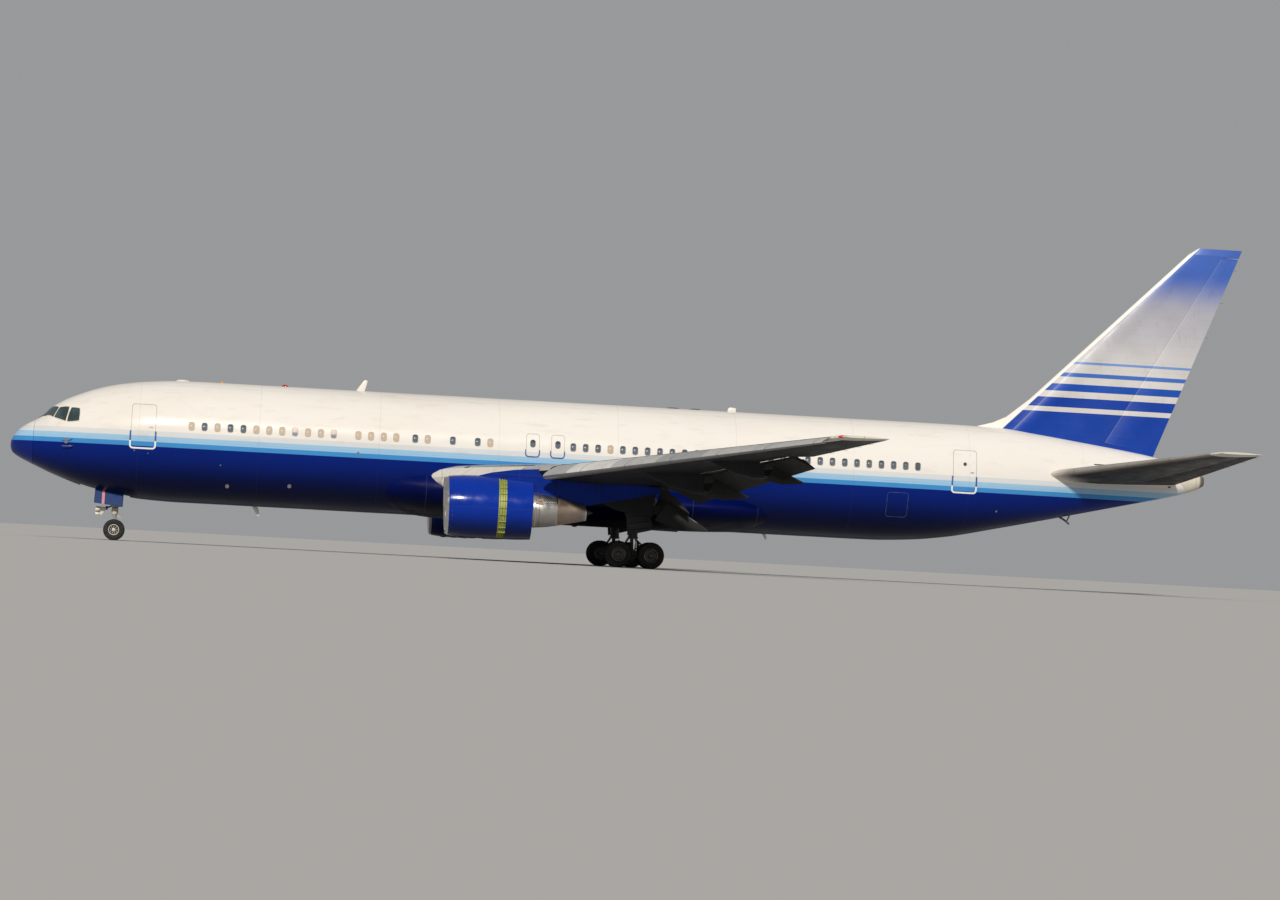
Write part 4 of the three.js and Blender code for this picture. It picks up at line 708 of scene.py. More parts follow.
# Painted shade: the fairing's blue is darkened towards the bottom.
faded(fairing_paint, 2, 1.0, 1.9, 0.95, 0.0, (0.08, 0.08, 0.08), "MULTIPLY")
mottled(fairing_paint, 2.5, (0.4, 0.4, 0.42), 0.45, 0.75, 0.7, stretch=(0.3, 1, 1), mode="MULTIPLY")
seam_lines(fairing_paint, [(0, 0.74, 0.1, 0.004), (1, 0.9, 0.0, 0.003), (2, 0.55, 0.12, 0.003)], strength=0.55)
uneven_gloss(fairing_paint, 3, 0.28, 0.5)
fit(fairing, "airframe", fairing_paint, ["wing_fairing"], smooth=35)

# ---------------------------------------------------------------- wings
# Two aluminium boxes swept back from the root, their skins milled plates, grey above and darkened below by painted
# shade.
# The fixed nose behind the slats, the tip and the front halves of the flap supports belong to them.
FLAT = math.radians(0.6)  # facets that meet at less lie in one plane


def worked_copy(node, name, edge=0.004, angle=32):
    """A welded copy of a solid with its flat facets joined and its outer edges softly broken."""
    piece = bpy.data.objects.new(name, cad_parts[node].data.copy())
    bpy.context.scene.collection.objects.link(piece)
    only(piece)
    bpy.ops.object.mode_set(mode="EDIT")
    bpy.ops.mesh.select_all(action="SELECT")
    bpy.ops.mesh.remove_doubles(threshold=0.00005)
    bpy.ops.mesh.dissolve_limited(angle_limit=FLAT)
    bpy.ops.object.mode_set(mode="OBJECT")
    bpy.ops.object.modifier_add(type="BEVEL")
    bevel = piece.modifiers[-1]
    bevel.width = edge
    bevel.segments = 2
    bevel.limit_method = "ANGLE"
    bevel.angle_limit = math.radians(angle)
    bevel.harden_normals = True
    bpy.ops.object.shade_smooth_by_angle(angle=math.radians(angle))
    bpy.ops.object.modifier_apply(modifier=bevel.name)
    return piece


def painted_shade_below(finish, colour, level):
    """Painted shade: another colour on faces that look up by less than a level."""
    tree = finish.node_tree
    facing = add(tree, "SeparateXYZ", {0: add(tree, "NewGeometry").outputs["Normal"]}).outputs[2]
    share = add(tree, "MapRange", {0: facing, 1: level, 2: level - 0.2, 3: 0.0, 4: 1.0}).outputs[0]
    tint(finish, share, colour)


def span_share(finish, start, end):
    """How far out along the span a point is, from 0 at a distance start to 1 at end, on both sides."""
    tree = finish.node_tree
    y = add(tree, "SeparateXYZ", {0: place_on(finish)}).outputs[1]
    out = add(tree, "Math", {0: y}, operation="ABSOLUTE").outputs[0]
    return add(tree, "MapRange", {0: out, 1: start, 2: end, 3: 0.0, 4: 1.0}).outputs[0]


def on_nose(finish, sweep, start, clear, end):
    """A share from 1 up to clear behind a leading edge to 0 at end, for its sweep and where it meets y = 0."""
    tree = finish.node_tree
    axes = add(tree, "SeparateXYZ", {0: place_on(finish)})
    out = add(tree, "Math", {0: axes.outputs[1]}, operation="ABSOLUTE").outputs[0]
    swept = add(tree, "Math", {0: out, 1: sweep}, operation="MULTIPLY").outputs[0]
    behind = add(tree, "Math", {0: axes.outputs[0], 1: swept}, operation="SUBTRACT").outputs[0]
    return add(tree, "MapRange", {0: behind, 1: start + clear, 2: start + end, 3: 1.0, 4: 0.0}).outputs[0]


def both(finish, first, second):
    """The product of two shares."""
    return add(finish.node_tree, "Math", {0: first, 1: second}, operation="MULTIPLY").outputs[0]


GLOVE_EDGE_SWEEP, GLOVE_EDGE_START = 0.754, -5.34
WING_EDGE_SWEEP, WING_EDGE_START = 0.6896, -5.065
NOSE_CREAM = (0.70, 0.66, 0.59)
wing_paint = new_finish("wing_grey", (0.42, 0.42, 0.41), 0.45, shine=0.08)
# Painted shade: faces that look up little, or down, are near black.
painted_shade_below(wing_paint, (0.022, 0.022, 0.023), 0.25)
glove_nose = on_nose(wing_paint, GLOVE_EDGE_SWEEP, GLOVE_EDGE_START, 0.26, 0.34)
tint(wing_paint, both(wing_paint, glove_nose, span_share(wing_paint, 1.76, 1.74)), NOSE_CREAM)
tip_nose = on_nose(wing_paint, WING_EDGE_SWEEP, WING_EDGE_START, 0.16, 0.2)
tint(wing_paint, both(wing_paint, tip_nose, span_share(wing_paint, 11.12, 11.16)), CREAM)
tint(wing_paint, span_share(wing_paint, 11.70, 11.72), CREAM)
mottled(wing_paint, 1.2, (0.66, 0.66, 0.67), 0.4, 0.75, 0.6, stretch=(0.6, 1, 1), mode="MULTIPLY")
mottled(wing_paint, 14, (0.45, 0.42, 0.38), 0.55, 0.85, 0.5, stretch=(0.25, 1, 1), mode="MULTIPLY")
seam_lines(wing_paint, [(1, 0.72, 0.2, 0.003), (0, 0.98, 0.3, 0.003)], strength=0.5)
uneven_gloss(wing_paint, 2, 0.36, 0.55)
for side in ("left", "right"):
    piece = worked_copy(f"wing_{side}", f"wing_skin_{side}")
    fit(piece, "airframe", wing_paint, [f"wing_{side}"], smooth=32)

# ---------------------------------------------------------------- pylons
# A narrow strut of steel and titanium carries each engine ahead of and below the wing, closed in by
# blue painted fairing sheets that are screwed to its frames.
pylon_paint = new_finish("pylon_paint", (0.0008, 0.021, 0.24), 0.34, shine=0.1)
mottled(pylon_paint, 3, (0.35, 0.33, 0.32), 0.45, 0.78, 0.8, stretch=(0.3, 1, 1), mode="MULTIPLY")
seam_lines(pylon_paint, [(0, 0.43, 0.1, 0.003), (2, 0.24, 0.04, 0.002)], strength=0.55)
uneven_gloss(pylon_paint, 4, 0.26, 0.46)
for side in ("left", "right"):
    fit(worked_copy(f"pylon_{side}", f"pylon_skin_{side}", 0.022, angle=38), "airframe", pylon_paint,
        [f"pylon_{side}"], smooth=38)

# ---------------------------------------------------------------- engine intake lips
# The intake's lip is spun from one sheet of aluminium, polished round its front and painted like the
# cowl behind that. Its face leans a little, the top ahead.
ENGINE_LIP_X = 18.965
ENGINE_Y = 7.92
ENGINE_AXIS_Z = 2.29
ALONG, ACROSS, UP = (1, 0, 0), (0, 1, 0), (0, 0, 1)


def eased(points, steps=5):
    """A smooth run through points, with steps in each stretch."""
    run = []
    for i in range(len(points) - 1):
        before, a, b = points[max(0, i - 1)], points[i], points[i + 1]
        after = points[min(len(points) - 1, i + 2)]
        for k in range(steps):
            u = k / steps
            run.append(tuple(0.5 * (2 * a[c] + (b[c] - before[c]) * u
                                    + (2 * before[c] - 5 * a[c] + 4 * b[c] - after[c]) * u ** 2
                                    + (3 * a[c] - before[c] - 3 * b[c] + after[c]) * u ** 3) for c in (0, 1)))
    return run + [points[-1]]


def on_axis(behind):
    """A point of the port engine's shaft line, by its distance behind the lip."""
    return place(ENGINE_LIP_X + behind, -ENGINE_Y, ENGINE_AXIS_Z)


def turned(name, section, steps=96, origin=(ENGINE_LIP_X, -ENGINE_Y, ENGINE_AXIS_Z), axis=ALONG):
    """A body spun about a line along an axis through origin, from its section: distance along, radius."""
    only(floor)
    bpy.ops.mesh.primitive_circle_add(vertices=len(section), radius=1)
    piece = named(name)
    order = sorted(piece.data.vertices, key=lambda v: math.atan2(v.co.y, v.co.x) % (2 * math.pi))
    x, y, z = origin
    for vertex, (along, radius) in zip(order, section):
        out = (radius, 0, 0) if axis[2] else (0, 0, radius)
        vertex.co = place(x + along * axis[0] + out[0], y + along * axis[1], z + along * axis[2] + out[2])
    bpy.ops.object.mode_set(mode="EDIT")
    bpy.ops.mesh.select_all(action="SELECT")
    bpy.ops.mesh.spin(steps=steps, angle=2 * math.pi, center=place(x, y, z), axis=axis)
    return closed(piece)


def on_both_engines(piece, name, body, finish, replaces=None, smooth=30):
    """Fits a piece made on the port engine, and its copy on the starboard one."""
    other = bpy.data.objects.new(name, piece.data.copy())
    bpy.context.scene.collection.objects.link(other)
    other.data.transform(Matrix.Translation((0, ENGINE_Y, 0)))
    for side, part in (("left", piece), ("right", other)):
        part.name = f"{name}_{side}"
        fit(part, f"{body}_{side}" if body != "airframe" else body, finish,
            [f"{replaces}_{side}"] if replaces else (), smooth=smooth)
    return piece, other


LIP_LEAN = 0.054
LIP_LENGTH = 0.3
BARE_LIP = 0.15
lip = turned("intake_lip", eased([(0.298, 1.11), (0.12, 1.112), (0.02, 1.152), (0, 1.188), (0.02, 1.222),
                                  (BARE_LIP - 0.01, 1.266), (0.298, 1.29)]))
front = on_axis(0)
painted = [face.index for face in lip.data.polygons
           if (face.center.x - front.x) * 2 > BARE_LIP - 0.01 and (face.center - front).yz.length > 0.6]
for vertex in lip.data.vertices:
    back = (vertex.co.x - front.x) * 2
    vertex.co.x -= LIP_LEAN * (vertex.co.z - front.z) * (1 - back / LIP_LENGTH)
polished = new_finish("polished_lip", (0.58, 0.56, 0.53), 0.2, metallic=1.0)
mottled(polished, 6, (0.40, 0.38, 0.35), 0.5, 0.85, 0.6)
uneven_gloss(polished, 10, 0.12, 0.3)
cowl_paint = new_finish("cowl_paint", (0.0008, 0.026, 0.29), 0.16, shine=0.2)
mottled(cowl_paint, 4, (0.62, 0.62, 0.66), 0.45, 0.8, 0.7, stretch=(0.5, 1, 1), mode="MULTIPLY")
seam_lines(cowl_paint, [(2, 2.0, ENGINE_AXIS_Z / -2 + 0.01, 0.002)], strength=0.5)
uneven_gloss(cowl_paint, 5, 0.10, 0.24)
# Painted shade: the cowl's blue is darkened towards the bottom.
faded(cowl_paint, 2, 0.5, 1.15, 0.92, 0.0, (0.12, 0.12, 0.12), "MULTIPLY")
ripple(cowl_paint, 3, 0.002)
lip.data.materials.append(polished)
lip.data.materials.append(cowl_paint)
for index in painted:
    lip.data.polygons[index].material_index = 1
on_both_engines(lip, "intake_lip", "airframe", None, "inlet_lip")

# ---------------------------------------------------------------- fan cowls
# Two composite doors hinged at the pylon and latched at the keel wrap the fan; a perforated liner
# that soaks up noise covers the duct inside.
liner = new_finish("duct_liner", (0.30, 0.31, 0.32), 0.5, metallic=0.2)
mottled(liner, 30, (0.16, 0.16, 0.17), 0.45, 0.7, 0.6)
seam_lines(liner, [(0, 0.22, 0.05, 0.002)], strength=0.5)
OUTER_COWL = eased([(0.305, 1.2915), (0.7, 1.329), (1.3, 1.347), (1.8, 1.346), (2.25, 1.3365)])
cowl = turned("fan_cowl", OUTER_COWL + [(2.253, 1.33), (2.253, 1.19)]
              + eased([(1.6, 1.205), (0.9, 1.213), (0.6, 1.17), (0.305, 1.112)]))
cowls = on_both_engines(cowl, "fan_cowl", "airframe", cowl_paint, "fan_cowl")
for part in cowls:
    part.data.materials.append(liner)
    axis_y = -ENGINE_Y / 2 if part is cowls[0] else ENGINE_Y / 2
    for face in part.data.polygons:
        out = Vector((0, face.center.y - axis_y, face.center.z - ENGINE_AXIS_Z / 2))
        face.material_index = 1 if out.dot(face.normal) < 0 else 0


def wrapped(piece, x, angle, radius, stand):
    """Bends a flat piece round the port engine at an angle from the top, its foot standing off a radius."""
    closed(piece)
    for vertex in piece.data.vertices:
        turned_by = math.radians(angle) + vertex.co.z / radius
        far = radius + stand - vertex.co.y
        vertex.co = place(ENGINE_LIP_X + x + vertex.co.x, -ENGINE_Y + far * math.sin(turned_by),
                          ENGINE_AXIS_Z + far * math.cos(turned_by))
    return closed(piece)


latches = []
# columns: angle from the top, distance behind the lip, half length
for angle, x, size in ((-176, 0.75, 0.11), (-176, 1.25, 0.11), (-176, 1.75, 0.11),
                       (172, 0.9, 0.09), (172, 1.6, 0.09)):
    latch = sunk_plate("cowl_latch", rounded(size * 2, size * 0.8, 0.02, 0.2), 0.02, 0.012, 0.008)
    latches.append(wrapped(latch, x, angle, 1.341, -0.006))
strake = flat_plate("cowl_strake", [(-0.45, -0.01), (-0.3, -0.03), (0.4, -0.03), (0.47, 0), (0.4, 0.03),
                                    (-0.3, 0.03), (-0.45, 0.01)], 0.30)
bpy.ops.transform.resize(value=(0.6, 1, 0.3))
bpy.ops.object.mode_set(mode="OBJECT")
for vertex in strake.data.vertices:
    vertex.co.x += 0.25 if vertex.co.y < -0.2 else 0.0
latches.append(wrapped(strake, 1.15, 38, 1.32, -0.006))
on_both_engines(joined(latches, "cowl_latches"), "cowl_latches", "airframe", cowl_paint, smooth=35)

# ---------------------------------------------------------------- reverser cascades
# Green primed cast frames of curved vanes, bolted in a ring behind the fan case, turn the fan's air
# forward once the sleeve has slid off them.
CASCADE_VANES = 5
CASCADE_RIBS = 26
PYLON_ZONE = 0.07  # half the angle from the top within which the pylon leaves no room for a rib
cascade_green = new_finish("cascade_green", (0.30, 0.33, 0.07), 0.55, metallic=0.15)
mottled(cascade_green, 6, (0.44, 0.46, 0.14), 0.45, 0.7, 0.7)
mottled(cascade_green, 18, (0.10, 0.10, 0.03), 0.55, 0.8, 0.6)
cascade_parts = [turned("cascade_drum", [(2.256, 1.2), (2.86, 1.2), (2.86, 1.232), (2.256, 1.232)]),
                 turned("cascade_flange", [(2.256, 1.2), (2.29, 1.2), (2.29, 1.29), (2.256, 1.29)])]
for k in range(CASCADE_VANES):
    x = 2.33 + 0.105 * k
    cascade_parts.append(turned("cascade_vane", [(x, 1.22), (x + 0.016, 1.22), (x - 0.008, 1.26), (x - 0.022, 1.286),
                                                 (x - 0.036, 1.286), (x - 0.022, 1.26)], 78))
for k in range(CASCADE_RIBS):
    angle = 2 * math.pi * (k + 0.5) / CASCADE_RIBS
    if abs(math.sin(angle / 2)) < PYLON_ZONE:
        continue
    bpy.ops.mesh.primitive_cube_add(size=1, scale=(0.30, 0.012, 0.04))
    rib = named("cascade_rib")
    only(rib)
    bpy.ops.object.modifier_add(type="BEVEL")
    rib.modifiers[-1].width = 0.003
    bpy.ops.object.modifier_apply(modifier=rib.modifiers[-1].name)
    bpy.ops.object.transform_apply(scale=True)
    rib.data.transform(Matrix.Translation(on_axis(2.558)) @ Matrix.Rotation(angle, 4, "X")
                       @ Matrix.Translation((0, 0, 0.626)))
    cascade_parts.append(rib)
cascade = joined(cascade_parts, "cascade_ring")
on_both_engines(cascade, "cascade_ring", "airframe", cascade_green, "cascade", smooth=35)

# ---------------------------------------------------------------- reverser sleeves
# The rear of the cowl is a composite shell that slides back on tracks beside the pylon. Here it is slid out,
# as after landing, and bares the cascades.
SLEEVE_START = 2.597
PYLON_GAP = 0.2125  # half the slot that the pylon passes through
sleeve = turned("reverser_sleeve", eased([(SLEEVE_START, 1.3365), (3.1, 1.3285), (3.45, 1.311), (3.724, 1.292)])
                + [(3.726, 1.282), (3.715, 1.270)] + eased([(3.3, 1.289), (3.2, 1.304)], 2)
                + [(SLEEVE_START + 0.1, 1.312), (SLEEVE_START, 1.312)])
cut_box(sleeve, (ENGINE_LIP_X + 2, -ENGINE_Y - PYLON_GAP, ENGINE_AXIS_Z + 0.3),
        (ENGINE_LIP_X + 5, -ENGINE_Y + PYLON_GAP, ENGINE_AXIS_Z + 2))
on_both_engines(closed(sleeve), "reverser_sleeve_skin", "reverser_sleeve", cowl_paint, "reverser_sleeve")

# ---------------------------------------------------------------- core cowls, nozzles and plugs
# Bare titanium and nickel sheet round the hot core: a bright riveted cowl, a nozzle browned by heat,
# and the plug inside it.
bright = new_finish("core_sheet", (0.60, 0.57, 0.53), 0.30, metallic=0.95)
mottled(bright, 4, (0.38, 0.36, 0.33), 0.48, 0.75, 0.6, stretch=(0.4, 1, 1))
mottled(bright, 14, (0.30, 0.20, 0.13), 0.62, 0.8, 0.4)
seam_lines(bright, [(0, 0.53, 0.11, 0.003), (2, 0.36, 0.12, 0.002)], strength=0.6)
# Painted shade: the sheet is darkened towards the bottom.
faded(bright, 2, 0.62, 1.22, 0.85, 0.0, (0.22, 0.20, 0.18), "MULTIPLY")
uneven_gloss(bright, 7, 0.2, 0.42)
browned = new_finish("nozzle_sheet", (0.31, 0.25, 0.20), 0.42, metallic=0.85)
banded(browned, 0, [(-1.87, (0.30, 0.22, 0.16)), (-1.6, (0.33, 0.26, 0.21)), (-1.3, (0.27, 0.23, 0.20)),
                    (-1.2, (0.42, 0.40, 0.38))], "LINEAR")
mottled(browned, 3, (0.40, 0.30, 0.22), 0.45, 0.75, 0.6, stretch=(0.3, 1, 1.6))
mottled(browned, 10, (0.14, 0.11, 0.09), 0.55, 0.8, 0.5, stretch=(0.3, 1, 1))
uneven_gloss(browned, 6, 0.3, 0.55)
core = turned("core_cowl_sheet", eased([(1.47, 0.5), (1.9, 0.6), (2.7, 0.73), (3.7, 0.765), (4.3, 0.725),
                                        (4.80, 0.645)]) + [(4.80, 0.60), (1.47, 0.42)], 80)
on_both_engines(core, "core_cowl_sheet", "airframe", bright, "core_cowl")
nozzle = turned("nozzle", eased([(4.806, 0.644), (5.45, 0.505), (6.06, 0.369)], 6) + [(6.095, 0.362), (6.096, 0.348)]
                + eased([(5.8, 0.36), (5.4, 0.43), (4.806, 0.56)], 3), 80)
plug = turned("nozzle_plug", eased([(4.9, 0.24), (5.5, 0.235), (6.0, 0.165), (6.3, 0.06), (6.4, 0.0)])
              + [(4.9, 0.0)], 48)
on_both_engines(nozzle, "nozzle", "airframe", browned)
sooted = new_finish("sooted_sheet", (0.035, 0.032, 0.03), 0.7)
mottled(sooted, 9, (0.10, 0.08, 0.06), 0.5, 0.8, 0.7)
on_both_engines(plug, "nozzle_plug", "airframe", sooted)
tip = turned("nozzle_rim", [(6.05, 0.374), (6.075, 0.377), (6.10, 0.366), (6.10, 0.350), (6.05, 0.360)], 80)
ring = turned("nozzle_band", [(4.785, 0.652), (4.83, 0.646), (4.83, 0.63), (4.785, 0.63)], 80)
rim = turned("core_band", [(3.86, 0.768), (3.90, 0.766), (3.90, 0.75), (3.86, 0.75)], 80)
patch = flat_plate("core_patch", rounded(0.30, 0.26, 0.03, 0.1), 0.02)
bpy.ops.object.mode_set(mode="OBJECT")
patch = wrapped(patch, 4.05, -62, 0.74, 0.005)
on_both_engines(joined([ring, rim, tip], "core_bands"), "core_bands", "airframe", polished)
scorched = new_finish("scorched_patch", (0.36, 0.24, 0.16), 0.6)
mottled(scorched, 30, (0.14, 0.10, 0.08), 0.45, 0.6, 0.9)
on_both_engines(patch, "core_patch", "airframe", scorched)

# ---------------------------------------------------------------- fans
# Titanium fan blades twist round a cone shaped spinner in the intake, all turning on one shaft. A ring of
# fixed vanes behind them straightens the air.
FAN_BLADES = 38
BLADE_ROOT, BLADE_TIP = 0.36, 1.168
BLADE_SET, BLADE_TWIST = 28, 34  # degrees from the shaft line at the root, and what the tip has more
GUIDE_VANES = 44
VANE_ROOT, VANE_TIP = 0.60, 1.2
fan_metal = new_finish("fan_titanium", (0.22, 0.225, 0.235), 0.3, metallic=0.9)
mottled(fan_metal, 10, (0.12, 0.12, 0.13), 0.5, 0.8, 0.5)
uneven_gloss(fan_metal, 14, 0.22, 0.42)
spinner = turned("fan_spinner", eased([(0.60, 0.0), (0.62, 0.045), (0.70, 0.13), (0.86, 0.26), (1.06, 0.37),
                                       (1.18, 0.40)]) + [(1.43, 0.43), (1.43, 0.0)], 64)


def set_round(piece, count, behind):
    """Copies of one blade set round the port engine's shaft line, at a distance behind the lip."""
    copies = []
    for k in range(count):
        copy = bpy.data.objects.new(piece.name, piece.data.copy())
        bpy.context.scene.collection.objects.link(copy)
        copy.data.transform(Matrix.Translation(on_axis(behind)) @ Matrix.Rotation(2 * math.pi * k / count, 4, "X")
                            @ Matrix.Scale(0.5, 4))
        copies.append(copy)
    bpy.data.objects.remove(piece)
    return copies


only(floor)
bpy.ops.mesh.primitive_grid_add(x_subdivisions=6, y_subdivisions=10, size=2)
blade = named("fan_blade")
for vertex in blade.data.vertices:
    u, v = vertex.co.x, (vertex.co.y + 1) / 2
    angle = math.radians(BLADE_SET + BLADE_TWIST * v ** 0.8)
    half_chord = 0.105 + 0.055 * v
    along = u * half_chord
    bow = 0.03 * (1 - u * u) * (1 - 0.5 * v)
    vertex.co = (along * math.cos(angle) - bow * math.sin(angle), along * math.sin(angle) + bow * math.cos(angle),
                 BLADE_ROOT + (BLADE_TIP - BLADE_ROOT) * v)
only(blade)
bpy.ops.object.modifier_add(type="SOLIDIFY")
blade.modifiers[-1].thickness = 0.016
blade.modifiers[-1].offset = 0
bpy.ops.object.modifier_apply(modifier=blade.modifiers[-1].name)
rotor = closed(joined(set_round(blade, FAN_BLADES, 1.26) + [spinner], "fan_rotor"))
on_both_engines(rotor, "fan_rotor", "fan", fan_metal, "fan", smooth=40)
only(floor)
bpy.ops.mesh.primitive_grid_add(x_subdivisions=3, y_subdivisions=2, size=2)
vane = named("guide_vane")
for vertex in vane.data.vertices:
    u, v = vertex.co.x, (vertex.co.y + 1) / 2
    vertex.co = (u * 0.13, 0.04 * u * u, VANE_ROOT + (VANE_TIP - VANE_ROOT) * v)
only(vane)
bpy.ops.object.modifier_add(type="SOLIDIFY")
vane.modifiers[-1].thickness = 0.018
bpy.ops.object.modifier_apply(modifier=vane.modifiers[-1].name)
vanes = closed(joined(set_round(vane, GUIDE_VANES, 2.05), "guide_vanes"))
on_both_engines(vanes, "guide_vanes", "airframe", liner, smooth=40)

# ---------------------------------------------------------------- slats
# The wing's aluminium nose is cut into slats that slide out on curved steel tracks. Those ahead of the
# engine are painted cream; the outer ones are bare, each segment worn to its own grey.
slat_paint = new_finish("slat_paint", (0.64, 0.60, 0.53), 0.36, shine=0.35)
mottled(slat_paint, 9, (0.40, 0.36, 0.30), 0.55, 0.8, 0.6, stretch=(0.5, 1, 1))
seam_lines(slat_paint, [(1, 0.37, 0.1, 0.004)], strength=0.5)
uneven_gloss(slat_paint, 9, 0.24, 0.42)
slat_metal = new_finish("slat_metal", (0.72, 0.70, 0.67), 0.4, metallic=0.2)
SEGMENT = 1.18
FIRST_SEGMENT = 0.4
tree = slat_metal.node_tree
y = add(tree, "SeparateXYZ", {0: place_on(slat_metal)}).outputs[1]
out = add(tree, "Math", {0: y}, operation="ABSOLUTE").outputs[0]
past_first = add(tree, "Math", {0: out, 1: FIRST_SEGMENT}, operation="SUBTRACT").outputs[0]
segments = add(tree, "Math", {0: past_first, 1: SEGMENT}, operation="DIVIDE").outputs[0]
number = add(tree, "Math", {0: segments}, operation="FLOOR").outputs[0]
own_grey = add(tree, "TexWhiteNoise", {1: number}, noise_dimensions="1D").outputs[0]
wear = add(tree, "MapRange", {0: own_grey, 1: 0.0, 2: 1.0, 3: 0.0, 4: 0.85}).outputs[0]
tint(slat_metal, wear, (0.27, 0.275, 0.285))
# Painted shade: the slats' lower faces are darker.
painted_shade_below(slat_metal, (0.16, 0.16, 0.165), 0.1)
mottled(slat_metal, 5, (0.7, 0.68, 0.65), 0.45, 0.8, 0.7, stretch=(0.5, 1, 1), mode="MULTIPLY")
seam_lines(slat_metal, [(1, SEGMENT / 2, -FIRST_SEGMENT, 0.005)], strength=0.8)
uneven_gloss(slat_metal, 9, 0.3, 0.5)
for side in ("left", "right"):
    for where, finish in (("inboard", slat_paint), ("outboard", slat_metal)):
        node = f"slat_{where}_{side}"
        fit(worked_copy(node, f"{node}_skin", 0.003), node, finish, [node], smooth=32)

# ---------------------------------------------------------------- flaps, spoilers and ailerons
# Trailing edge surfaces of composite and honeycomb on steel hinges, painted the wing's grey. The flaps
# carry the drooping rear halves of their supports' fairings and go down and back with them.
flap_paint = new_finish("flap_grey", (0.36, 0.36, 0.36), 0.5, shine=0.08)
# Painted shade: faces that do not look well up are near black.
painted_shade_below(flap_paint, (0.03, 0.03, 0.03), 0.6)
mottled(flap_paint, 2, (0.5, 0.47, 0.44), 0.45, 0.75, 0.7, stretch=(0.35, 1, 1), mode="MULTIPLY")
seam_lines(flap_paint, [(1, 0.58, 0.1, 0.003)], strength=0.5)
uneven_gloss(flap_paint, 5, 0.4, 0.6)
for side in ("left", "right"):
    for kind in ("flap_inboard", "flap_outboard", "spoilers_inboard", "spoilers_outboard", "aileron_inboard",
                 "aileron_outboard"):
        node = f"{kind}_{side}"
        fit(worked_copy(node, f"{node}_skin", 0.003), node, flap_paint, [node], smooth=32)

# ---------------------------------------------------------------- fin and rudder
# The fin is an aluminium box with a bright metal leading edge; the rudder behind it is composite honeycomb.
# Both carry a plain pattern of level stripes over a white field, under a top that fades to blue.
FIN_WHITE = (0.62, 0.595, 0.585)
FIN_GREY = (0.36, 0.36, 0.42)
FIN_BLUE = (0.05, 0.12, 0.45)
DEEP_STRIPE = (0.004, 0.045, 0.34)
# columns: level where the stripe starts on the model, colour
FIN_BANDS = [(3.30, DEEP_STRIPE), (4.02, FIN_WHITE), (4.13, DEEP_STRIPE), (4.36, FIN_WHITE),
             (4.50, (0.008, 0.07, 0.40)), (4.66, FIN_WHITE), (4.83, (0.03, 0.13, 0.48)), (4.93, FIN_WHITE),
             (5.13, (0.12, 0.26, 0.60)), (5.18, FIN_WHITE), (8.0, FIN_WHITE)]


def tail_paint(name):
    """The striped paint of the fin and of the rudder."""
    finish = new_finish(name, FIN_WHITE, 0.32, shine=0.3)
    banded(finish, 2, FIN_BANDS)
    faded(finish, 2, 4.6, 6.6, 0.0, 0.9, FIN_GREY)
    faded(finish, 2, 6.35, 7.35, 0.0, 1.0, FIN_BLUE)
    mottled(finish, 1.5, (0.80, 0.78, 0.76), 0.4, 0.75, 0.5, mode="MULTIPLY")
    mottled(finish, 9, (0.70, 0.60, 0.50), 0.58, 0.82, 0.5, stretch=(1, 1, 0.3), mode="MULTIPLY")
    seam_lines(finish, [(2, 0.105, 0.0, 0.0016)], strength=0.16, depth=0.001)
    uneven_gloss(finish, 2, 0.28, 0.45)
    return finish


def past_plane(finish, direction, at, colour):
    """Another colour on all that lies further along a direction than a plane."""
    tree = finish.node_tree
    along = add(tree, "VectorMath", {0: place_on(finish), 1: direction}, operation="DOT_PRODUCT").outputs["Value"]
    tint(finish, add(tree, "MapRange", {0: along, 1: at, 2: at + 0.004, 3: 0.0, 4: 1.0}).outputs[0], colour)


FIN_EDGE = -4.835  # how far up and ahead the metal edge begins
RUDDER_GAP = 0.008
fin_paint = tail_paint("fin_paint")
# The edge's cream, lighter than the white paint, is in part its own bright metal and in part a painted highlight.
past_plane(fin_paint, (-1, 0, 1), FIN_EDGE, (0.86, 0.82, 0.76))
fit(worked_copy("fin", "fin_skin", 0.004), "airframe", fin_paint, ["fin"], smooth=32)
rudder_paint = tail_paint("rudder_paint")
rudder = worked_copy("rudder", "rudder_skin", 0.003)
for face in [f for f in rudder.data.polygons if abs(f.normal.z) > 0.8]:
    for index in face.vertices:
        rudder.data.vertices[index].co.z += RUDDER_GAP * math.copysign(1, face.normal.z)
fit(rudder, "rudder", rudder_paint, ["rudder"], smooth=32)

# ---------------------------------------------------------------- stabilizers and elevators
# Aluminium boxes through the tail with polished noses and undersides darkened by painted shade, and
# composite elevators hinged behind them.
STAB_EDGE_SWEEP = 0.776
STAB_EDGE_START = 8.809
stab_paint = new_finish("stabilizer_grey", (0.40, 0.39, 0.37), 0.45, shine=0.12)
# Painted shade: the undersides are near black.
painted_shade_below(stab_paint, (0.022, 0.021, 0.021), 0.1)
tint(stab_paint, on_nose(stab_paint, STAB_EDGE_SWEEP, STAB_EDGE_START, 0.02, 0.16), (0.30, 0.275, 0.245))
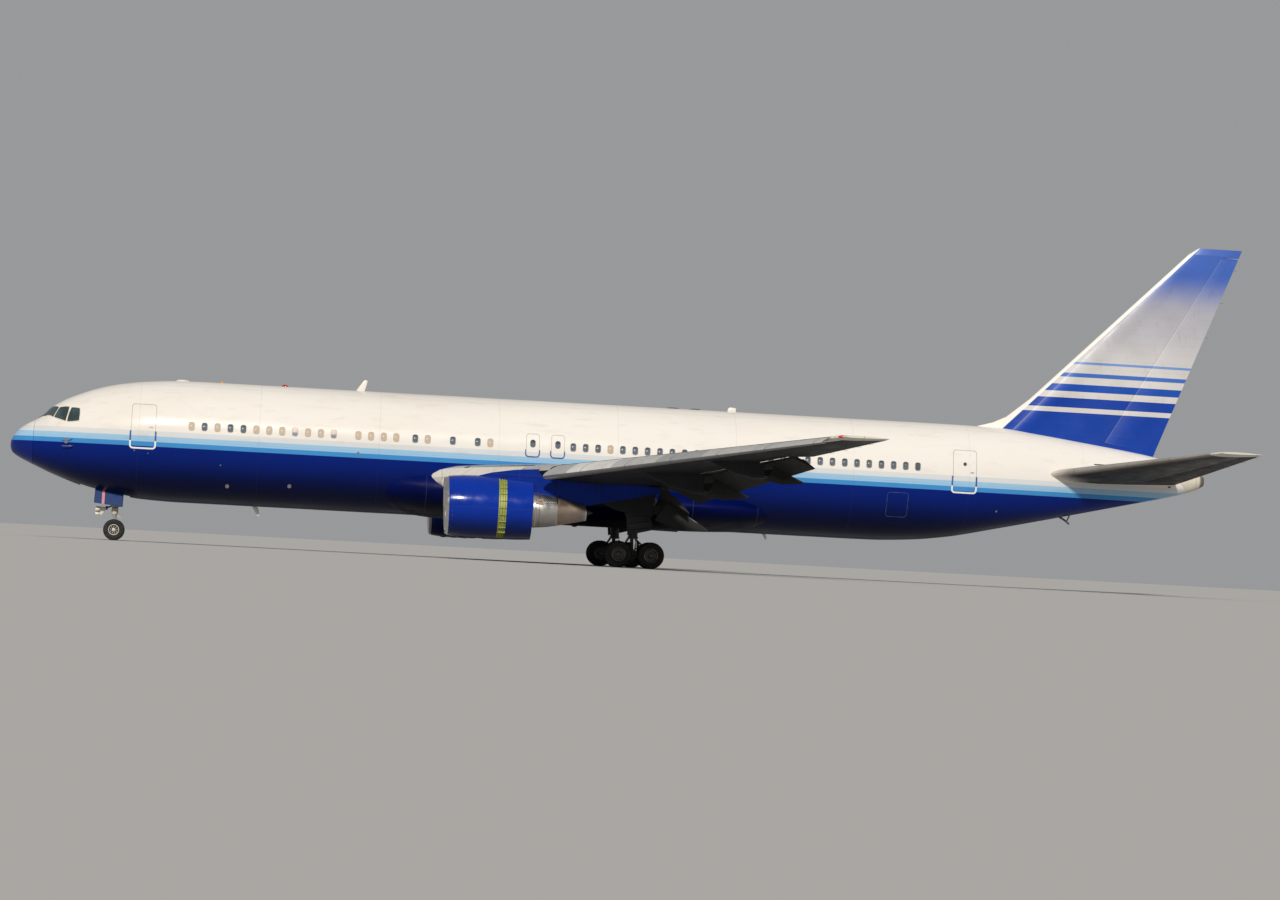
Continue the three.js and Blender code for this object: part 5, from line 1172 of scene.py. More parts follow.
# Painted highlight: a cream patch on the nose at the root.
axes = add(stab_paint.node_tree, "SeparateXYZ", {0: place_on(stab_paint)})
root_nose_painted_highlight = add(stab_paint.node_tree, "MapRange", {0: axes.outputs[0], 1: 9.75, 2: 10.35, 3: 1.0, 4: 0.0}).outputs[0]
tint(stab_paint, both(stab_paint, span_share(stab_paint, 1.25, 0.78), root_nose_painted_highlight), (0.72, 0.65, 0.56))
tint(stab_paint, span_share(stab_paint, 4.42, 4.45), (0.66, 0.63, 0.57))
mottled(stab_paint, 2, (0.62, 0.58, 0.52), 0.45, 0.75, 0.6, stretch=(0.5, 1, 1), mode="MULTIPLY")
seam_lines(stab_paint, [(1, 0.62, 0.1, 0.003), (0, 0.84, 0.2, 0.003)], strength=0.5)
uneven_gloss(stab_paint, 3, 0.36, 0.55)
for side in ("left", "right"):
    fit(worked_copy(f"stabilizer_{side}", f"stabilizer_skin_{side}", 0.003), "airframe", stab_paint,
        [f"stabilizer_{side}"], smooth=32)
    fit(worked_copy(f"elevator_{side}", f"elevator_skin_{side}", 0.003), f"elevator_{side}",
        flap_paint, [f"elevator_{side}"], smooth=32)

# ---------------------------------------------------------------- tail vents
# Narrow slots in the tail's skin let cooling air out, with soot round them: a long one above each
# stabilizer and a short one ahead of the exhaust on each side.
slit_paint = new_finish("slit_shadow", (0.03, 0.025, 0.02), 0.7)
mottled(slit_paint, 20, (0.16, 0.11, 0.07), 0.5, 0.8, 0.6)
slits = []
for x, z, length, height in ((48.93, 5.755, 1.06, 0.045), (52.0, 4.93, 0.14, 0.06)):
    slit = flat_plate("tail_slit", rounded(length, height, height * 0.4, 0.1), 0.012)
    bpy.ops.object.mode_set(mode="OBJECT")
    slits += laid_on_side(slit, x, z, (1, -1))
    bpy.data.objects.remove(slit)
fit(joined(slits, "tail_slits"), "airframe", slit_paint, smooth=30)

# ---------------------------------------------------------------- nose gear
# A forged steel oleo leg in cream enamel, braced fore and aft, with a chromed piston, torque links and
# steering jacks, and a bar of landing lamps ahead of it. Its two doors hang open on rods.
NOSE_LEG_X = 4.75
gear_enamel = new_finish("gear_enamel", (0.50, 0.47, 0.40), 0.42, shine=0.4)
mottled(gear_enamel, 7, (0.10, 0.085, 0.065), 0.45, 0.72, 0.85)
mottled(gear_enamel, 26, (0.24, 0.19, 0.13), 0.55, 0.8, 0.6)
uneven_gloss(gear_enamel, 12, 0.3, 0.6)
dark_enamel = new_finish("gear_dark_enamel", (0.055, 0.052, 0.05), 0.5, shine=0.4)
mottled(dark_enamel, 8, (0.018, 0.017, 0.016), 0.42, 0.7, 0.8)
mottled(dark_enamel, 30, (0.14, 0.11, 0.08), 0.6, 0.82, 0.6)
uneven_gloss(dark_enamel, 12, 0.35, 0.6)
chrome = new_finish("gear_chrome", (0.82, 0.80, 0.77), 0.12, metallic=1.0)
mottled(chrome, 12, (0.50, 0.45, 0.38), 0.6, 0.85, 0.4)
hose_rubber = new_finish("gear_hose", (0.03, 0.03, 0.03), 0.5)
mottled(hose_rubber, 30, (0.10, 0.09, 0.08), 0.5, 0.8, 0.6)


def pipe(name, points, radius, rounds=8):
    """A pipe or clipped hose on a smooth run through points of the full size aircraft."""
    curve = bpy.data.curves.new(name, "CURVE")
    curve.dimensions = "3D"
    curve.bevel_depth = radius / 2
    curve.bevel_resolution = rounds // 4
    curve.resolution_u = 5
    curve.use_fill_caps = True
    line = curve.splines.new("BEZIER")
    line.bezier_points.add(len(points) - 1)
    for knot, point in zip(line.bezier_points, points):
        knot.co = place(*point)
        knot.handle_left_type = knot.handle_right_type = "AUTO"
    piece = bpy.data.objects.new(name, curve)
    bpy.context.scene.collection.objects.link(piece)
    only(piece)
    bpy.ops.object.convert(target="MESH")
    return closed(named(name))


def softened(piece, width):
    """Breaks the sharp edges of a finished mesh."""
    only(piece)
    bpy.ops.object.modifier_add(type="BEVEL")
    bevel = piece.modifiers[-1]
    bevel.width = width / 2
    bevel.segments = 2
    bevel.limit_method = "ANGLE"
    bevel.angle_limit = math.radians(30)
    bpy.ops.object.modifier_apply(modifier=bevel.name)
    return piece


def moved(piece, x, y, z):
    """Carries a flat piece made round the origin to its place on the aircraft; its face stays to port."""
    for vertex in piece.data.vertices:
        vertex.co = place(x + vertex.co.x, y + vertex.co.y, z + vertex.co.z)
    return closed(piece)


def solid_plate(name, outline, thick, x, y, z, edge=0.008):
    """A cut plate with broken edges, upright fore and aft, its middle at a place."""
    piece = flat_plate(name, outline, thick)
    bpy.ops.object.mode_set(mode="OBJECT")
    return softened(moved(piece, x, y + thick / 2, z), edge)


for node, body in (("nose_leg", "airframe"), ("nose_steering", "nose_steering")):
    fit(worked_copy(node, f"{node}_casting", 0.004, angle=34), body,
        dark_enamel if node == "nose_leg" else gear_enamel, [node], smooth=34)
piston = turned("nose_piston", [(0.62, 0.0), (0.62, 0.086), (1.14, 0.086), (1.14, 0.0)], 40, (NOSE_LEG_X, 0, 0), UP)
fit(piston, "nose_steering", chrome, smooth=35)
fittings = [turned("nose_gland", [(1.10, 0.0), (1.10, 0.105), (1.125, 0.118), (1.175, 0.118), (1.19, 0.10),
                                  (1.19, 0.0)], 40, (NOSE_LEG_X, 0, 0), UP),
            turned("nose_foot", [(0.60, 0.0), (0.60, 0.115), (0.68, 0.108), (0.70, 0.09), (0.70, 0.0)], 40,
                   (NOSE_LEG_X, 0, 0), UP)]
fit(joined(fittings, "nose_piston_gland"), "nose_steering", gear_enamel, smooth=35)
jacks = []
for side in (1, -1):
    jacks.append(turned("steering_jack", [(-0.21, 0.0), (-0.21, 0.045), (-0.19, 0.055), (0.10, 0.055), (0.11, 0.045),
                                          (0.12, 0.022), (0.27, 0.022), (0.27, 0.0)], 24,
                        (NOSE_LEG_X + 0.06, side * 0.175, 1.52), ALONG))
    jacks.append(turned("jack_lug", [(-0.06, 0.0), (-0.06, 0.05), (0.06, 0.05), (0.06, 0.0)], 20,
                        (NOSE_LEG_X, side * 0.165, 1.52), ACROSS))
for z in (1.72, 2.10, 2.48):
    jacks.append(turned("leg_band", [(-0.025, 0.10), (-0.025, 0.142), (0.025, 0.142), (0.025, 0.10)], 36,
                        (NOSE_LEG_X, 0, z), UP))
fit(joined(jacks, "nose_steering_jacks"), "airframe", gear_enamel, smooth=35)
hoses = [pipe("nose_hose", [(NOSE_LEG_X - 0.02, side * 0.10, 2.75), (NOSE_LEG_X - 0.11, side * 0.105, 2.3),
                            (NOSE_LEG_X - 0.125, side * 0.10, 1.9), (NOSE_LEG_X - 0.10, side * 0.13, 1.62),
                            (NOSE_LEG_X - 0.06, side * 0.165, 1.54)], 0.014) for side in (1, -1)]
fit(joined(hoses, "nose_hoses"), "airframe", hose_rubber, smooth=40)

lamp_glass = new_finish("lamp_glass", (0.85, 0.86, 0.84), 0.06)
mottled(lamp_glass, 20, (0.55, 0.56, 0.55), 0.45, 0.75, 0.5)
seam_lines(lamp_glass, [(1, 0.006, 0.0, 0.0006)], strength=0.35, depth=0.001)
lamp_paint = new_finish("lamp_bowl_paint", (0.74, 0.70, 0.60), 0.35, shine=0.4)
mottled(lamp_paint, 14, (0.35, 0.29, 0.22), 0.5, 0.8, 0.5)
LAMP_X = 3.90
BRACKET_X = 4.07
bowls, glasses = [], []
for side in (1, -1):
    for y, z, r in ((0.135, 1.345, 0.105), (0.10, 1.145, 0.075)):
        spot = (LAMP_X, side * y, z)
        bowls.append(turned("lamp_bowl", [(0.0, r * 0.86), (0.0, r), (0.03, r), (0.035, r * 0.93)]
                            + eased([(0.06, r * 0.92), (0.14, r * 0.74), (0.19, r * 0.42), (0.205, 0.0)], 3)
                            + [(0.03, 0.0), (0.03, r * 0.86)], 32, spot, ALONG))
        glasses.append(turned("lamp_lens", [(-0.012, 0.0), (-0.009, r * 0.5), (0.002, r * 0.86), (0.028, r * 0.86),
                                            (0.028, 0.0)], 32, spot, ALONG))
bowls.append(solid_plate("lamp_bracket", [(-0.16, -0.30), (0.10, -0.28), (0.34, 0.03), (0.34, 0.09), (-0.16, 0.09)],
                         0.03, BRACKET_X, 0, 1.38, 0.006))
for z, reach in ((1.345, 0.14), (1.145, 0.11)):
    bowls.append(turned("lamp_bar", [(-reach, 0.0), (-reach, 0.022), (reach, 0.022), (reach, 0.0)], 16,
                        (BRACKET_X, 0, z), ACROSS))
fit(joined(bowls, "nose_lamp_bowls"), "airframe", lamp_paint, smooth=35)
fit(joined(glasses, "nose_lamp_glass"), "airframe", lamp_glass, smooth=35)

DOOR_BLUE = (0.010, 0.038, 0.15)
DOOR_RED = (0.60, 0.24, 0.27)
door_blue = new_finish("nose_door_paint", DOOR_BLUE, 0.34, shine=0.1)
banded(door_blue, 0, [(-11.9, DOOR_BLUE), (-11.655, DOOR_RED), (-11.595, DOOR_BLUE), (-11.0, DOOR_BLUE)])
mottled(door_blue, 9, (0.6, 0.56, 0.5), 0.5, 0.8, 0.6, mode="MULTIPLY")
seam_lines(door_blue, [(0, 0.155, 0.02, 0.0015)], strength=0.4, depth=0.001)
uneven_gloss(door_blue, 6, 0.26, 0.46)
for side, sign in (("left", -1), ("right", 1)):
    fit(worked_copy(f"nose_door_{side}", f"nose_door_skin_{side}", 0.005), "airframe", door_blue,
        [f"nose_door_{side}"], smooth=32)
    ribs = [pipe("door_rib", [(x, sign * 0.44, 1.75), (x, sign * 0.40, 2.2), (x, sign * 0.365, 2.58)], 0.022)
            for x in (3.98, 4.30, 4.62, 4.94)]
    ribs.append(pipe("door_rib", [(3.92, sign * 0.405, 2.15), (4.5, sign * 0.405, 2.15), (5.02, sign * 0.405, 2.15)], 0.02))
    ribs.append(pipe("door_rod", [(4.55, sign * 0.42, 1.95), (4.6, sign * 0.25, 2.2), (4.70, sign * 0.10, 2.42)], 0.018))
    fit(joined(ribs, f"nose_door_ribs_{side}"), "airframe", gear_enamel, smooth=40)

# ---------------------------------------------------------------- main gear
# A thick forged oleo leg hangs from the rear spar on each side, with drag and side stays, and a four wheel
# truck on a chromed piston. A ribbed composite door is rodded to the leg's outer side.
MAIN_GEAR_X = 27.5
MAIN_GEAR_Y = 4.65
TRUCK_HALF = 0.71  # from the leg to each axle
AXLE_Z = 0.584
DOOR_Z = 2.28
door_dark = new_finish("leg_door_paint", (0.035, 0.035, 0.037), 0.5, shine=0.3)
mottled(door_dark, 6, (0.012, 0.012, 0.012), 0.45, 0.7, 0.7)
mottled(door_dark, 22, (0.09, 0.075, 0.06), 0.6, 0.82, 0.5)
uneven_gloss(door_dark, 8, 0.4, 0.6)
for side, sign in (("left", -1), ("right", 1)):
    def at(x, y, z):
        """A point near this side's leg: aft of it, outboard of it, and its level."""
        return (MAIN_GEAR_X + x, sign * (MAIN_GEAR_Y + y), z)

    fit(worked_copy(f"main_leg_{side}", f"main_leg_casting_{side}", 0.006, angle=34), "airframe",
        dark_enamel, [f"main_leg_{side}"], smooth=34)
    piston = turned("main_piston", [(0.74, 0.0), (0.74, 0.139), (1.30, 0.139), (1.30, 0.0)], 44, at(0, 0, 0), UP)
    fit(piston, "airframe", chrome, smooth=35)
    extras = []
    for z in (1.34, 1.78, 2.35, 2.9):
        extras.append(turned("leg_band", [(-0.035, 0.17), (-0.035, 0.232), (0.035, 0.232), (0.035, 0.17)], 44,
                             at(-0.06 - 0.033 * (z - 1.28), 0, z), UP))
    for x in (-TRUCK_HALF, TRUCK_HALF):
        extras.append(turned("axle_sleeve", [(-0.30, 0.09), (-0.30, 0.135), (-0.27, 0.15), (0.27, 0.15), (0.30, 0.135),
                                             (0.30, 0.09)], 32, at(x, 0, AXLE_Z), ACROSS))
    extras.append(turned("truck_pivot", [(-0.20, 0.0), (-0.20, 0.10), (-0.18, 0.12), (0.18, 0.12), (0.20, 0.10),
                                         (0.20, 0.0)], 32, at(0, 0, 0.60), ACROSS))
    extras.append(pipe("tilt_jack", [at(-0.62, 0, 0.72), at(-0.45, 0, 0.98), at(-0.26, 0, 1.30)], 0.045))
    extras.append(pipe("tilt_jack_rod", [at(-0.70, 0, 0.66), at(-0.60, 0, 0.75)], 0.025))
    for z in (2.05, 2.6):
        extras.append(turned("stay_joint", [(-0.11, 0.0), (-0.11, 0.085), (0.11, 0.085), (0.11, 0.0)], 24,
                             at(-0.19 - 0.32 * (z - 2.05), 0, z), ACROSS))
    fit(joined(extras, f"main_leg_fittings_{side}"), "airframe", dark_enamel, smooth=38)
    lines = []
    for k, lane in enumerate((0.20, 0.235, 0.27)):
        lines.append(pipe("leg_hose", [at(-0.12 + 0.03 * k, lane, 3.2), at(-0.13 + 0.035 * k, lane, 2.4),
                                       at(-0.09 + 0.035 * k, lane, 1.6), at(0.04 + 0.03 * k, lane * 0.9, 1.25),
                                       at(0.16 + 0.02 * k, 0.17, 1.0), at(0.10 - 0.10 * k, 0.16, 0.76)], 0.014))
    for x in (-TRUCK_HALF, TRUCK_HALF):
        for lane in (-0.20, 0.20):
            lines.append(pipe("brake_hose", [at(x * 0.15, lane * 0.8, 0.72), at(x * 0.45, lane, 0.80),
                                             at(x * 0.8, lane * 1.2, 0.78), at(x, lane * 1.35, 0.68)], 0.013))
    fit(joined(lines, f"main_leg_hoses_{side}"), "airframe", hose_rubber, smooth=40)

    panel = [solid_plate("leg_door_panel", [(-0.78, 1.12), (-0.70, 0.55), (-0.42, -0.10), (-0.34, -0.86), (0.72, -0.58),
                                            (0.66, -0.45), (0.74, -0.38), (0.58, 0.15), (0.53, 0.66), (-0.20, 0.72),
                                            (-0.28, 1.12)], 0.045, *at(0, 0.33, DOOR_Z), 0.012)]
    for k, start in enumerate((-0.62, -0.55, -0.42, -0.37, -0.34)):
        end = 0.50 + 0.035 * k
        z = DOOR_Z + 0.56 - 0.28 * k
        for y in (0.3, 0.36):
            panel.append(pipe("door_bead", [at(start, y, z - 0.08), at((start + end) / 2, y, z), at(end, y, z + 0.08)],
                              0.018))
    fit(joined(panel, f"leg_door_ribbed_{side}"), "airframe", door_dark, [f"leg_door_{side}"], smooth=35)
    links = [pipe("leg_door_link", [at(-0.05, 0.15, z), at(-0.02, 0.32, z)], 0.03) for z in (1.7, 2.3, 2.85)]
    fit(joined(links, f"leg_door_links_{side}"), "airframe", gear_enamel, smooth=38)

# ---------------------------------------------------------------- wheels and tyres
# Forged aluminium wheels in two bolted halves carry grooved tubeless tyres, two to an axle. The main
# wheels are built round a stack of carbon brake discs that is keyed to wheel and axle by turns.


def wheel(name, tyre_r, tyre_w, rim_r, bolts, paints):
    """A tyre and a wheel about the Y axis at the origin, their outer face to port, as two loose pieces.
    The paints are those of the rim's edge, of the recess and of the hub."""
    w = tyre_w / 2
    groove = tyre_w * 0.018
    tread = []
    for at in (-0.42, -0.21, 0.0, 0.21, 0.42):
        middle = at * w * 1.25
        edge = tyre_r * (1 - 0.012 * abs(at) / 0.42)
        tread += [(middle - groove, edge), (middle - groove * 0.7, edge - 0.013),
                  (middle + groove * 0.7, edge - 0.013), (middle + groove, edge)]
    wall = eased([(0.60 * w, tyre_r * 0.984), (0.80 * w, tyre_r * 0.955), (0.94 * w, tyre_r * 0.90),
                  (0.995 * w, tyre_r * 0.80), (0.98 * w, tyre_r * 0.69), (0.90 * w, rim_r * 1.13),
                  (0.80 * w, rim_r * 1.01)], 3)
    section = [(-y, r) for y, r in reversed(wall)] + tread + wall + [(0.5 * w, rim_r * 0.97), (-0.5 * w, rim_r * 0.97)]
    tyre = turned(name + "_tyre", section, 64, (LENGTH / 2, 0, 0), ACROSS)
    hub = [(0.74 * w, rim_r * 0.90), (0.88 * w, rim_r * 1.0), (0.86 * w, rim_r * 1.06), (0.80 * w, rim_r * 1.06),
           (0.70 * w, rim_r * 0.98), (-0.70 * w, rim_r * 0.98), (-0.80 * w, rim_r * 1.06), (-0.86 * w, rim_r * 1.06),
           (-0.88 * w, rim_r * 1.0), (-0.80 * w, rim_r * 0.92), (-0.52 * w, rim_r * 0.86), (-0.40 * w, rim_r * 0.80),
           (-0.36 * w, rim_r * 0.52), (-0.44 * w, rim_r * 0.48), (-0.56 * w, rim_r * 0.36), (-0.66 * w, rim_r * 0.33),
           (-0.72 * w, rim_r * 0.26), (-0.73 * w, 0.0), (0.55 * w, 0.0), (0.55 * w, rim_r * 0.5),
           (0.60 * w, rim_r * 0.86)]
    body = turned(name + "_hub", hub, 48, (LENGTH / 2, 0, 0), ACROSS)
    for paint in paints:
        body.data.materials.append(paint)
    for face in body.data.polygons:
        radius = face.center.xz.length * 2 / rim_r
        face.material_index = 0 if radius > 0.90 or abs(face.center.y) < 0.15 * w else 2 if radius < 0.40 else 1
    parts = [body]
    for k in range(bolts):
        angle = 2 * math.pi * k / bolts
        for radius, size, y in ((0.66, 0.045, -0.40), (0.41, 0.028, -0.50)):
            bpy.ops.mesh.primitive_cylinder_add(vertices=6, radius=size * rim_r, depth=0.05 * w,
                                                rotation=(math.pi / 2, 0, 0))
            bolt = bpy.context.object
            bpy.ops.object.transform_apply(rotation=True)
            bolt.data.transform(Matrix.Translation((radius * rim_r / 2 * math.sin(angle), y * w / 2,
                                                    radius * rim_r / 2 * math.cos(angle))))
            bolt.data.materials.append(paints[2])
            parts.append(bolt)
    tyre.data.materials.append(rubber)
    return tyre, joined(parts, name + "_rim")


rubber = new_finish("tyre_rubber", (0.016, 0.016, 0.017), 0.78, shine=0.3)
mottled(rubber, 14, (0.060, 0.055, 0.050), 0.5, 0.8, 0.6)
ripple(rubber, 90, 0.0008)
rim_shadow = new_finish("rim_recess", (0.035, 0.033, 0.030), 0.6)
mottled(rim_shadow, 18, (0.12, 0.10, 0.08), 0.5, 0.8, 0.5)
rim_gold = new_finish("main_rim_edge", (0.26, 0.19, 0.12), 0.4, metallic=0.6)
mottled(rim_gold, 9, (0.07, 0.055, 0.045), 0.42, 0.7, 0.85)
rim_cream = new_finish("nose_rim_paint", (0.60, 0.56, 0.47), 0.42, shine=0.4)
mottled(rim_cream, 12, (0.20, 0.16, 0.12), 0.5, 0.75, 0.6)
rim_dark = new_finish("main_rim_paint", (0.10, 0.095, 0.09), 0.5, metallic=0.2)
mottled(rim_dark, 10, (0.05, 0.045, 0.04), 0.42, 0.7, 0.85)
brake_steel = new_finish("brake_steel", (0.10, 0.09, 0.085), 0.5, metallic=0.7)
mottled(brake_steel, 20, (0.20, 0.12, 0.07), 0.5, 0.75, 0.5)


# columns: tyre radius, tyre width, rim radius, bolts, half the spacing of the two wheels, axle radius
NOSE_WHEEL = (0.470, 0.350, 0.225, 9, 0.305, 0.050)
MAIN_WHEEL = (AXLE_Z, 0.457, 0.285, 12, 0.570, 0.080)


def wheel_pair(name, body, sizes, paints, centre, brakes):
    """Two wheels on their axle, turning together, with their brakes between them."""
    tyre_r, tyre_w, rim_r, bolts, half_spacing, axle_r = sizes
    middle = place(*centre)
    pieces = {"tyres": [], "rims": []}
    for sign in (1, -1):
        for kind, part in zip(("tyres", "rims"), wheel(name, tyre_r, tyre_w, rim_r, bolts, paints)):
            for vertex in part.data.vertices:
                vertex.co.y = (vertex.co.y - half_spacing / 2) * sign
                vertex.co += middle
            pieces[kind].append(closed(part))
    fit(joined(pieces["tyres"], name + "_tyres"), body, None, [body], smooth=35)
    fit(joined(pieces["rims"], name + "_rims"), body, None, smooth=35)
    reach = half_spacing - tyre_w * 0.2
    stack = [turned(name + "_axle", [(-reach, 0.0), (-reach, axle_r), (reach, axle_r), (reach, 0.0)], 24, centre,
                    ACROSS)]
    if brakes:
        for sign in (1, -1):
            for k in range(4):
                y = sign * (half_spacing - tyre_w * 0.32) - sign * 0.035 * k
                stack.append(turned(name + "_disc", [(y - 0.012, axle_r), (y - 0.012, rim_r * 0.8),
                                                     (y + 0.012, rim_r * 0.8), (y + 0.012, axle_r)], 40, centre,
                                    ACROSS))
    fit(joined(stack, name + "_axle"), body, brake_steel, smooth=35)


wheel_pair("nose_wheel", "nose_wheels", NOSE_WHEEL, (rim_cream, rim_shadow, rim_cream),
           (NOSE_LEG_X, 0, NOSE_WHEEL[0]), False)
for side, sign in (("left", -1), ("right", 1)):
    for row, shift in (("front", -TRUCK_HALF), ("rear", TRUCK_HALF)):
        wheel_pair(f"main_wheel_{row}_{side}", f"main_wheels_{row}_{side}", MAIN_WHEEL, (rim_gold, rim_dark, rim_dark),
                   (MAIN_GEAR_X + shift, sign * MAIN_GEAR_Y, AXLE_Z), True)

# ---------------------------------------------------------------- antennas, beacons and lamps
# Small moulded blades and domes over radio aerials are screwed along the crown and the keel, with red
# beacons between them, and the position lamps sit on the wing tips.
aerial_paint = new_finish("aerial_paint", (0.72, 0.69, 0.63), 0.38, shine=0.4)
mottled(aerial_paint, 16, (0.40, 0.36, 0.30), 0.5, 0.8, 0.5)
dark_aerial = new_finish("aerial_dark", (0.07, 0.065, 0.06), 0.55)
mottled(dark_aerial, 16, (0.20, 0.17, 0.14), 0.5, 0.8, 0.5)


def crown(x):
    """The level of the fuselage's top at a station."""
    return drawn_through(BODY, x)[1]


def keel(x):
    """The level of the fuselage's bottom at a station."""
    return drawn_through(BODY, x)[3]


def blade(name, outline, thick, x, z):
    """An aerial: a thin swept plate on the centre line, thinned to its edges."""
    piece = solid_plate(name, outline, thick, x, 0, z, thick * 0.7)
    top = max(abs(v.co.z * 2 - z) for v in piece.data.vertices)
    for vertex in piece.data.vertices:
        vertex.co.y *= 1 - 0.55 * min(1.0, abs(vertex.co.z * 2 - z) / top)
    return piece


def dome(name, x, z, long, wide, high):
    """A low moulded cover on the centre line, long in the stream."""
    only(floor)
    bpy.ops.mesh.primitive_uv_sphere_add(segments=24, ring_count=12, radius=1)
    piece = named(name)
    for vertex in piece.data.vertices:
        sink = 0.6 if vertex.co.z * high < 0 else 1.0
        vertex.co = place(x + vertex.co.x * long / 2, vertex.co.y * wide / 2, z + vertex.co.z * high * sink)
    return closed(piece)


# columns: name, outline about the middle of its foot, thickness, station, level of its foot
BLADES = [
    ("crown_blade", [(-0.19, -0.05), (0.19, -0.05), (0.19, 0.02), (0.30, 0.46), (0.17, 0.50), (0.10, 0.44),
                     (-0.19, 0.02)], 0.05, 15.33, crown(15.33)),
    ("crown_blade", [(-0.19, -0.05), (0.19, -0.05), (0.21, 0.17), (-0.08, 0.20), (-0.17, 0.12)], 0.05, 32.0, crown(32)),
    ("keel_blade", [(-0.11, 0.05), (0.13, 0.05), (0.20, -0.10), (0.27, -0.42), (0.17, -0.42), (-0.02, -0.12)],
     0.045, 10.88, keel(10.88)),
    ("keel_blade", [(-0.08, 0.05), (0.12, 0.05), (0.20, -0.22), (0.12, -0.25), (0.04, -0.10)], 0.04, 33.7, 1.83),
]
aerials = [blade(*row) for row in BLADES]
aerials.append(dome("crown_dome", 7.43, crown(7.43) - 0.01, 0.62, 0.36, 0.075))
fit(joined(aerials, "aerials"), "airframe", aerial_paint, smooth=38)
dark = [dome("crown_plate", x, crown(x) - 0.01, long, 0.30, 0.055) for x, long in ((29.35, 0.62), (30.35, 0.55))]
dark.append(pipe("tail_skid", [(47.15, 0, keel(47.15) + 0.02), (47.32, 0, keel(47.32) - 0.10), (47.52, 0, 3.10),
                               (47.62, 0, 3.02)], 0.045))
dark.append(pipe("tail_skid_brace", [(47.62, 0, keel(47.62) + 0.02), (47.52, 0, 3.18), (47.50, 0, 3.10)], 0.03))
fit(joined(dark, "dark_aerials"), "airframe", dark_aerial, smooth=38)


def lamp(name, pieces, colour):
    """A coloured glass lamp, unlit."""
    glass = new_finish(f"{name}_glass", colour, 0.1)
    mottled(glass, 30, tuple(c * 0.4 for c in colour), 0.45, 0.8, 0.6)
    ripple(glass, 60, 0.0008)
    fit(joined(pieces, f"{name}_lamps"), "airframe", glass, smooth=40)


beacons = [dome("beacon", 11.96, crown(11.96), 0.30, 0.17, 0.085), dome("beacon", 25.2, 1.745, 0.26, 0.15, -0.09)]
lamp("beacon", beacons, (0.42, 0.012, 0.014))
lamp("amber", [dome("amber", 9.16, crown(9.16), 0.16, 0.12, 0.075)], (0.75, 0.30, 0.04))
TIP_LAMP = (33.86, 23.6, 5.69)
for name, side, colour in (("port_red", -1, (0.60, 0.01, 0.012)), ("starboard_green", 1, (0.01, 0.36, 0.10))):
    cover = dome(name, TIP_LAMP[0], TIP_LAMP[2], 0.34, 0.16, 0.075)
    cover.data.transform(Matrix.Translation((0, side * TIP_LAMP[1] / 2, 0)))
    lamp(name, [closed(cover)], colour)

# ---------------------------------------------------------------- probes and ports
# Heated steel pitot tubes on swept masts stand out of the nose's sides, with small drains, static ports
# and service lamps flush in the skin further back.
probe_steel = new_finish("probe_steel", (0.45, 0.43, 0.40), 0.3, metallic=0.9)
mottled(probe_steel, 24, (0.20, 0.15, 0.10), 0.5, 0.75, 0.7)


def off_skin(x, z, proud, side):
    """A point proud of the fuselage's side, on the full size aircraft."""
    point = on_side(x, z, proud)
    return (point.x * 2 + LENGTH / 2, point.y * 2 * side, point.z * 2)


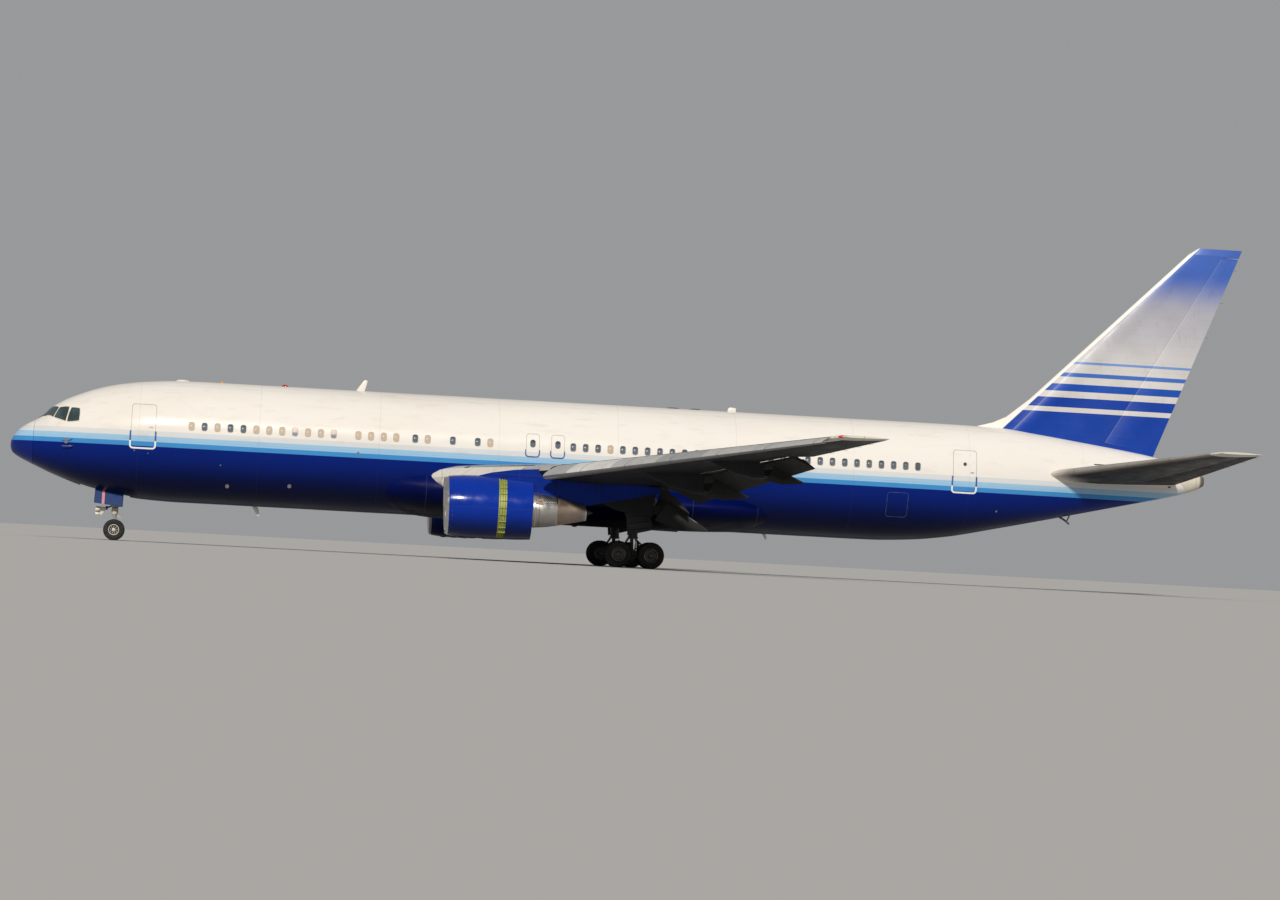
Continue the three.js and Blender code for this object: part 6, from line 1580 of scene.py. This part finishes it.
probes, covers = [], []
for side in (1, -1):
    for x, z in ((2.62, 4.36), (2.66, 4.06)):
        probes.append(pipe("pitot_mast", [off_skin(x + 0.16, z, -0.02, side), off_skin(x + 0.10, z, 0.10, side),
                                          off_skin(x, z, 0.16, side)], 0.022))
        probes.append(pipe("pitot_tube", [off_skin(x - 0.28, z - 0.01, 0.16, side), off_skin(x + 0.05, z, 0.165, side)],
                           0.016))
    for x, z, size in ((2.50, 4.23, 0.16), (5.5, 4.0, 0.06), (9.64, 2.65, 0.17), (12.37, 2.80, 0.17), (15.3, 4.42, 0.12),
                       (9.3, 3.55, 0.06), (6.1, 3.9, 0.05), (18.7, 3.6, 0.07), (31.6, 3.5, 0.07), (44.0, 3.4, 0.09)):
        disc = sunk_plate("port_disc", rounded(size, size, size * 0.49, 0.2), 0.012, size * 0.16, 0.005)
        covers += laid_on_side(disc, x, z, (side,))
        bpy.data.objects.remove(disc)
fit(joined(probes, "pitot_probes"), "airframe", probe_steel, smooth=38)
fit(joined(covers, "ports"), "airframe", probe_steel, smooth=30)

# ---------------------------------------------------------------- static wicks
# Thin carbon rods glued in a row along the outer trailing edges bleed off static charge, and move with
# the ailerons, the elevators and the rudder.
AILERON_SHARES = (0.25, 0.5, 0.75, 0.97)
ELEVATOR_SHARES = (0.6, 0.8, 0.97)
# columns: surface, axis along its span, shares of its span where a rod stands
WICK_ROWS = [("aileron_outboard_left", 1, AILERON_SHARES), ("aileron_outboard_right", 1, AILERON_SHARES),
             ("elevator_left", 1, ELEVATOR_SHARES), ("elevator_right", 1, ELEVATOR_SHARES),
             ("rudder", 2, (0.6, 0.78, 0.95))]
wick_carbon = new_finish("wick_carbon", (0.06, 0.058, 0.055), 0.6)
mottled(wick_carbon, 40, (0.14, 0.13, 0.12), 0.5, 0.8, 0.5)
for node, along, shares in WICK_ROWS:
    points = [v.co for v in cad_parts[node].data.vertices]
    inner, outer = min(abs(p[along]) for p in points), max(abs(p[along]) for p in points)
    end_zone = 0.05 * (outer - inner)
    start = max((p for p in points if abs(p[along]) < inner + end_zone), key=lambda p: p.x)
    end = max((p for p in points if abs(p[along]) > outer - end_zone), key=lambda p: p.x)
    rods = []
    for share in shares:
        foot = start.lerp(end, share) * 2 + Vector((LENGTH / 2, 0, 0))
        rods.append(pipe("static_wick", [(foot.x - 0.04, foot.y, foot.z), (foot.x + 0.08, foot.y, foot.z),
                                         (foot.x + 0.17, foot.y, foot.z)], 0.006, 4))
    fit(joined(rods, f"static_wicks_{node}"), node, wick_carbon, smooth=40)
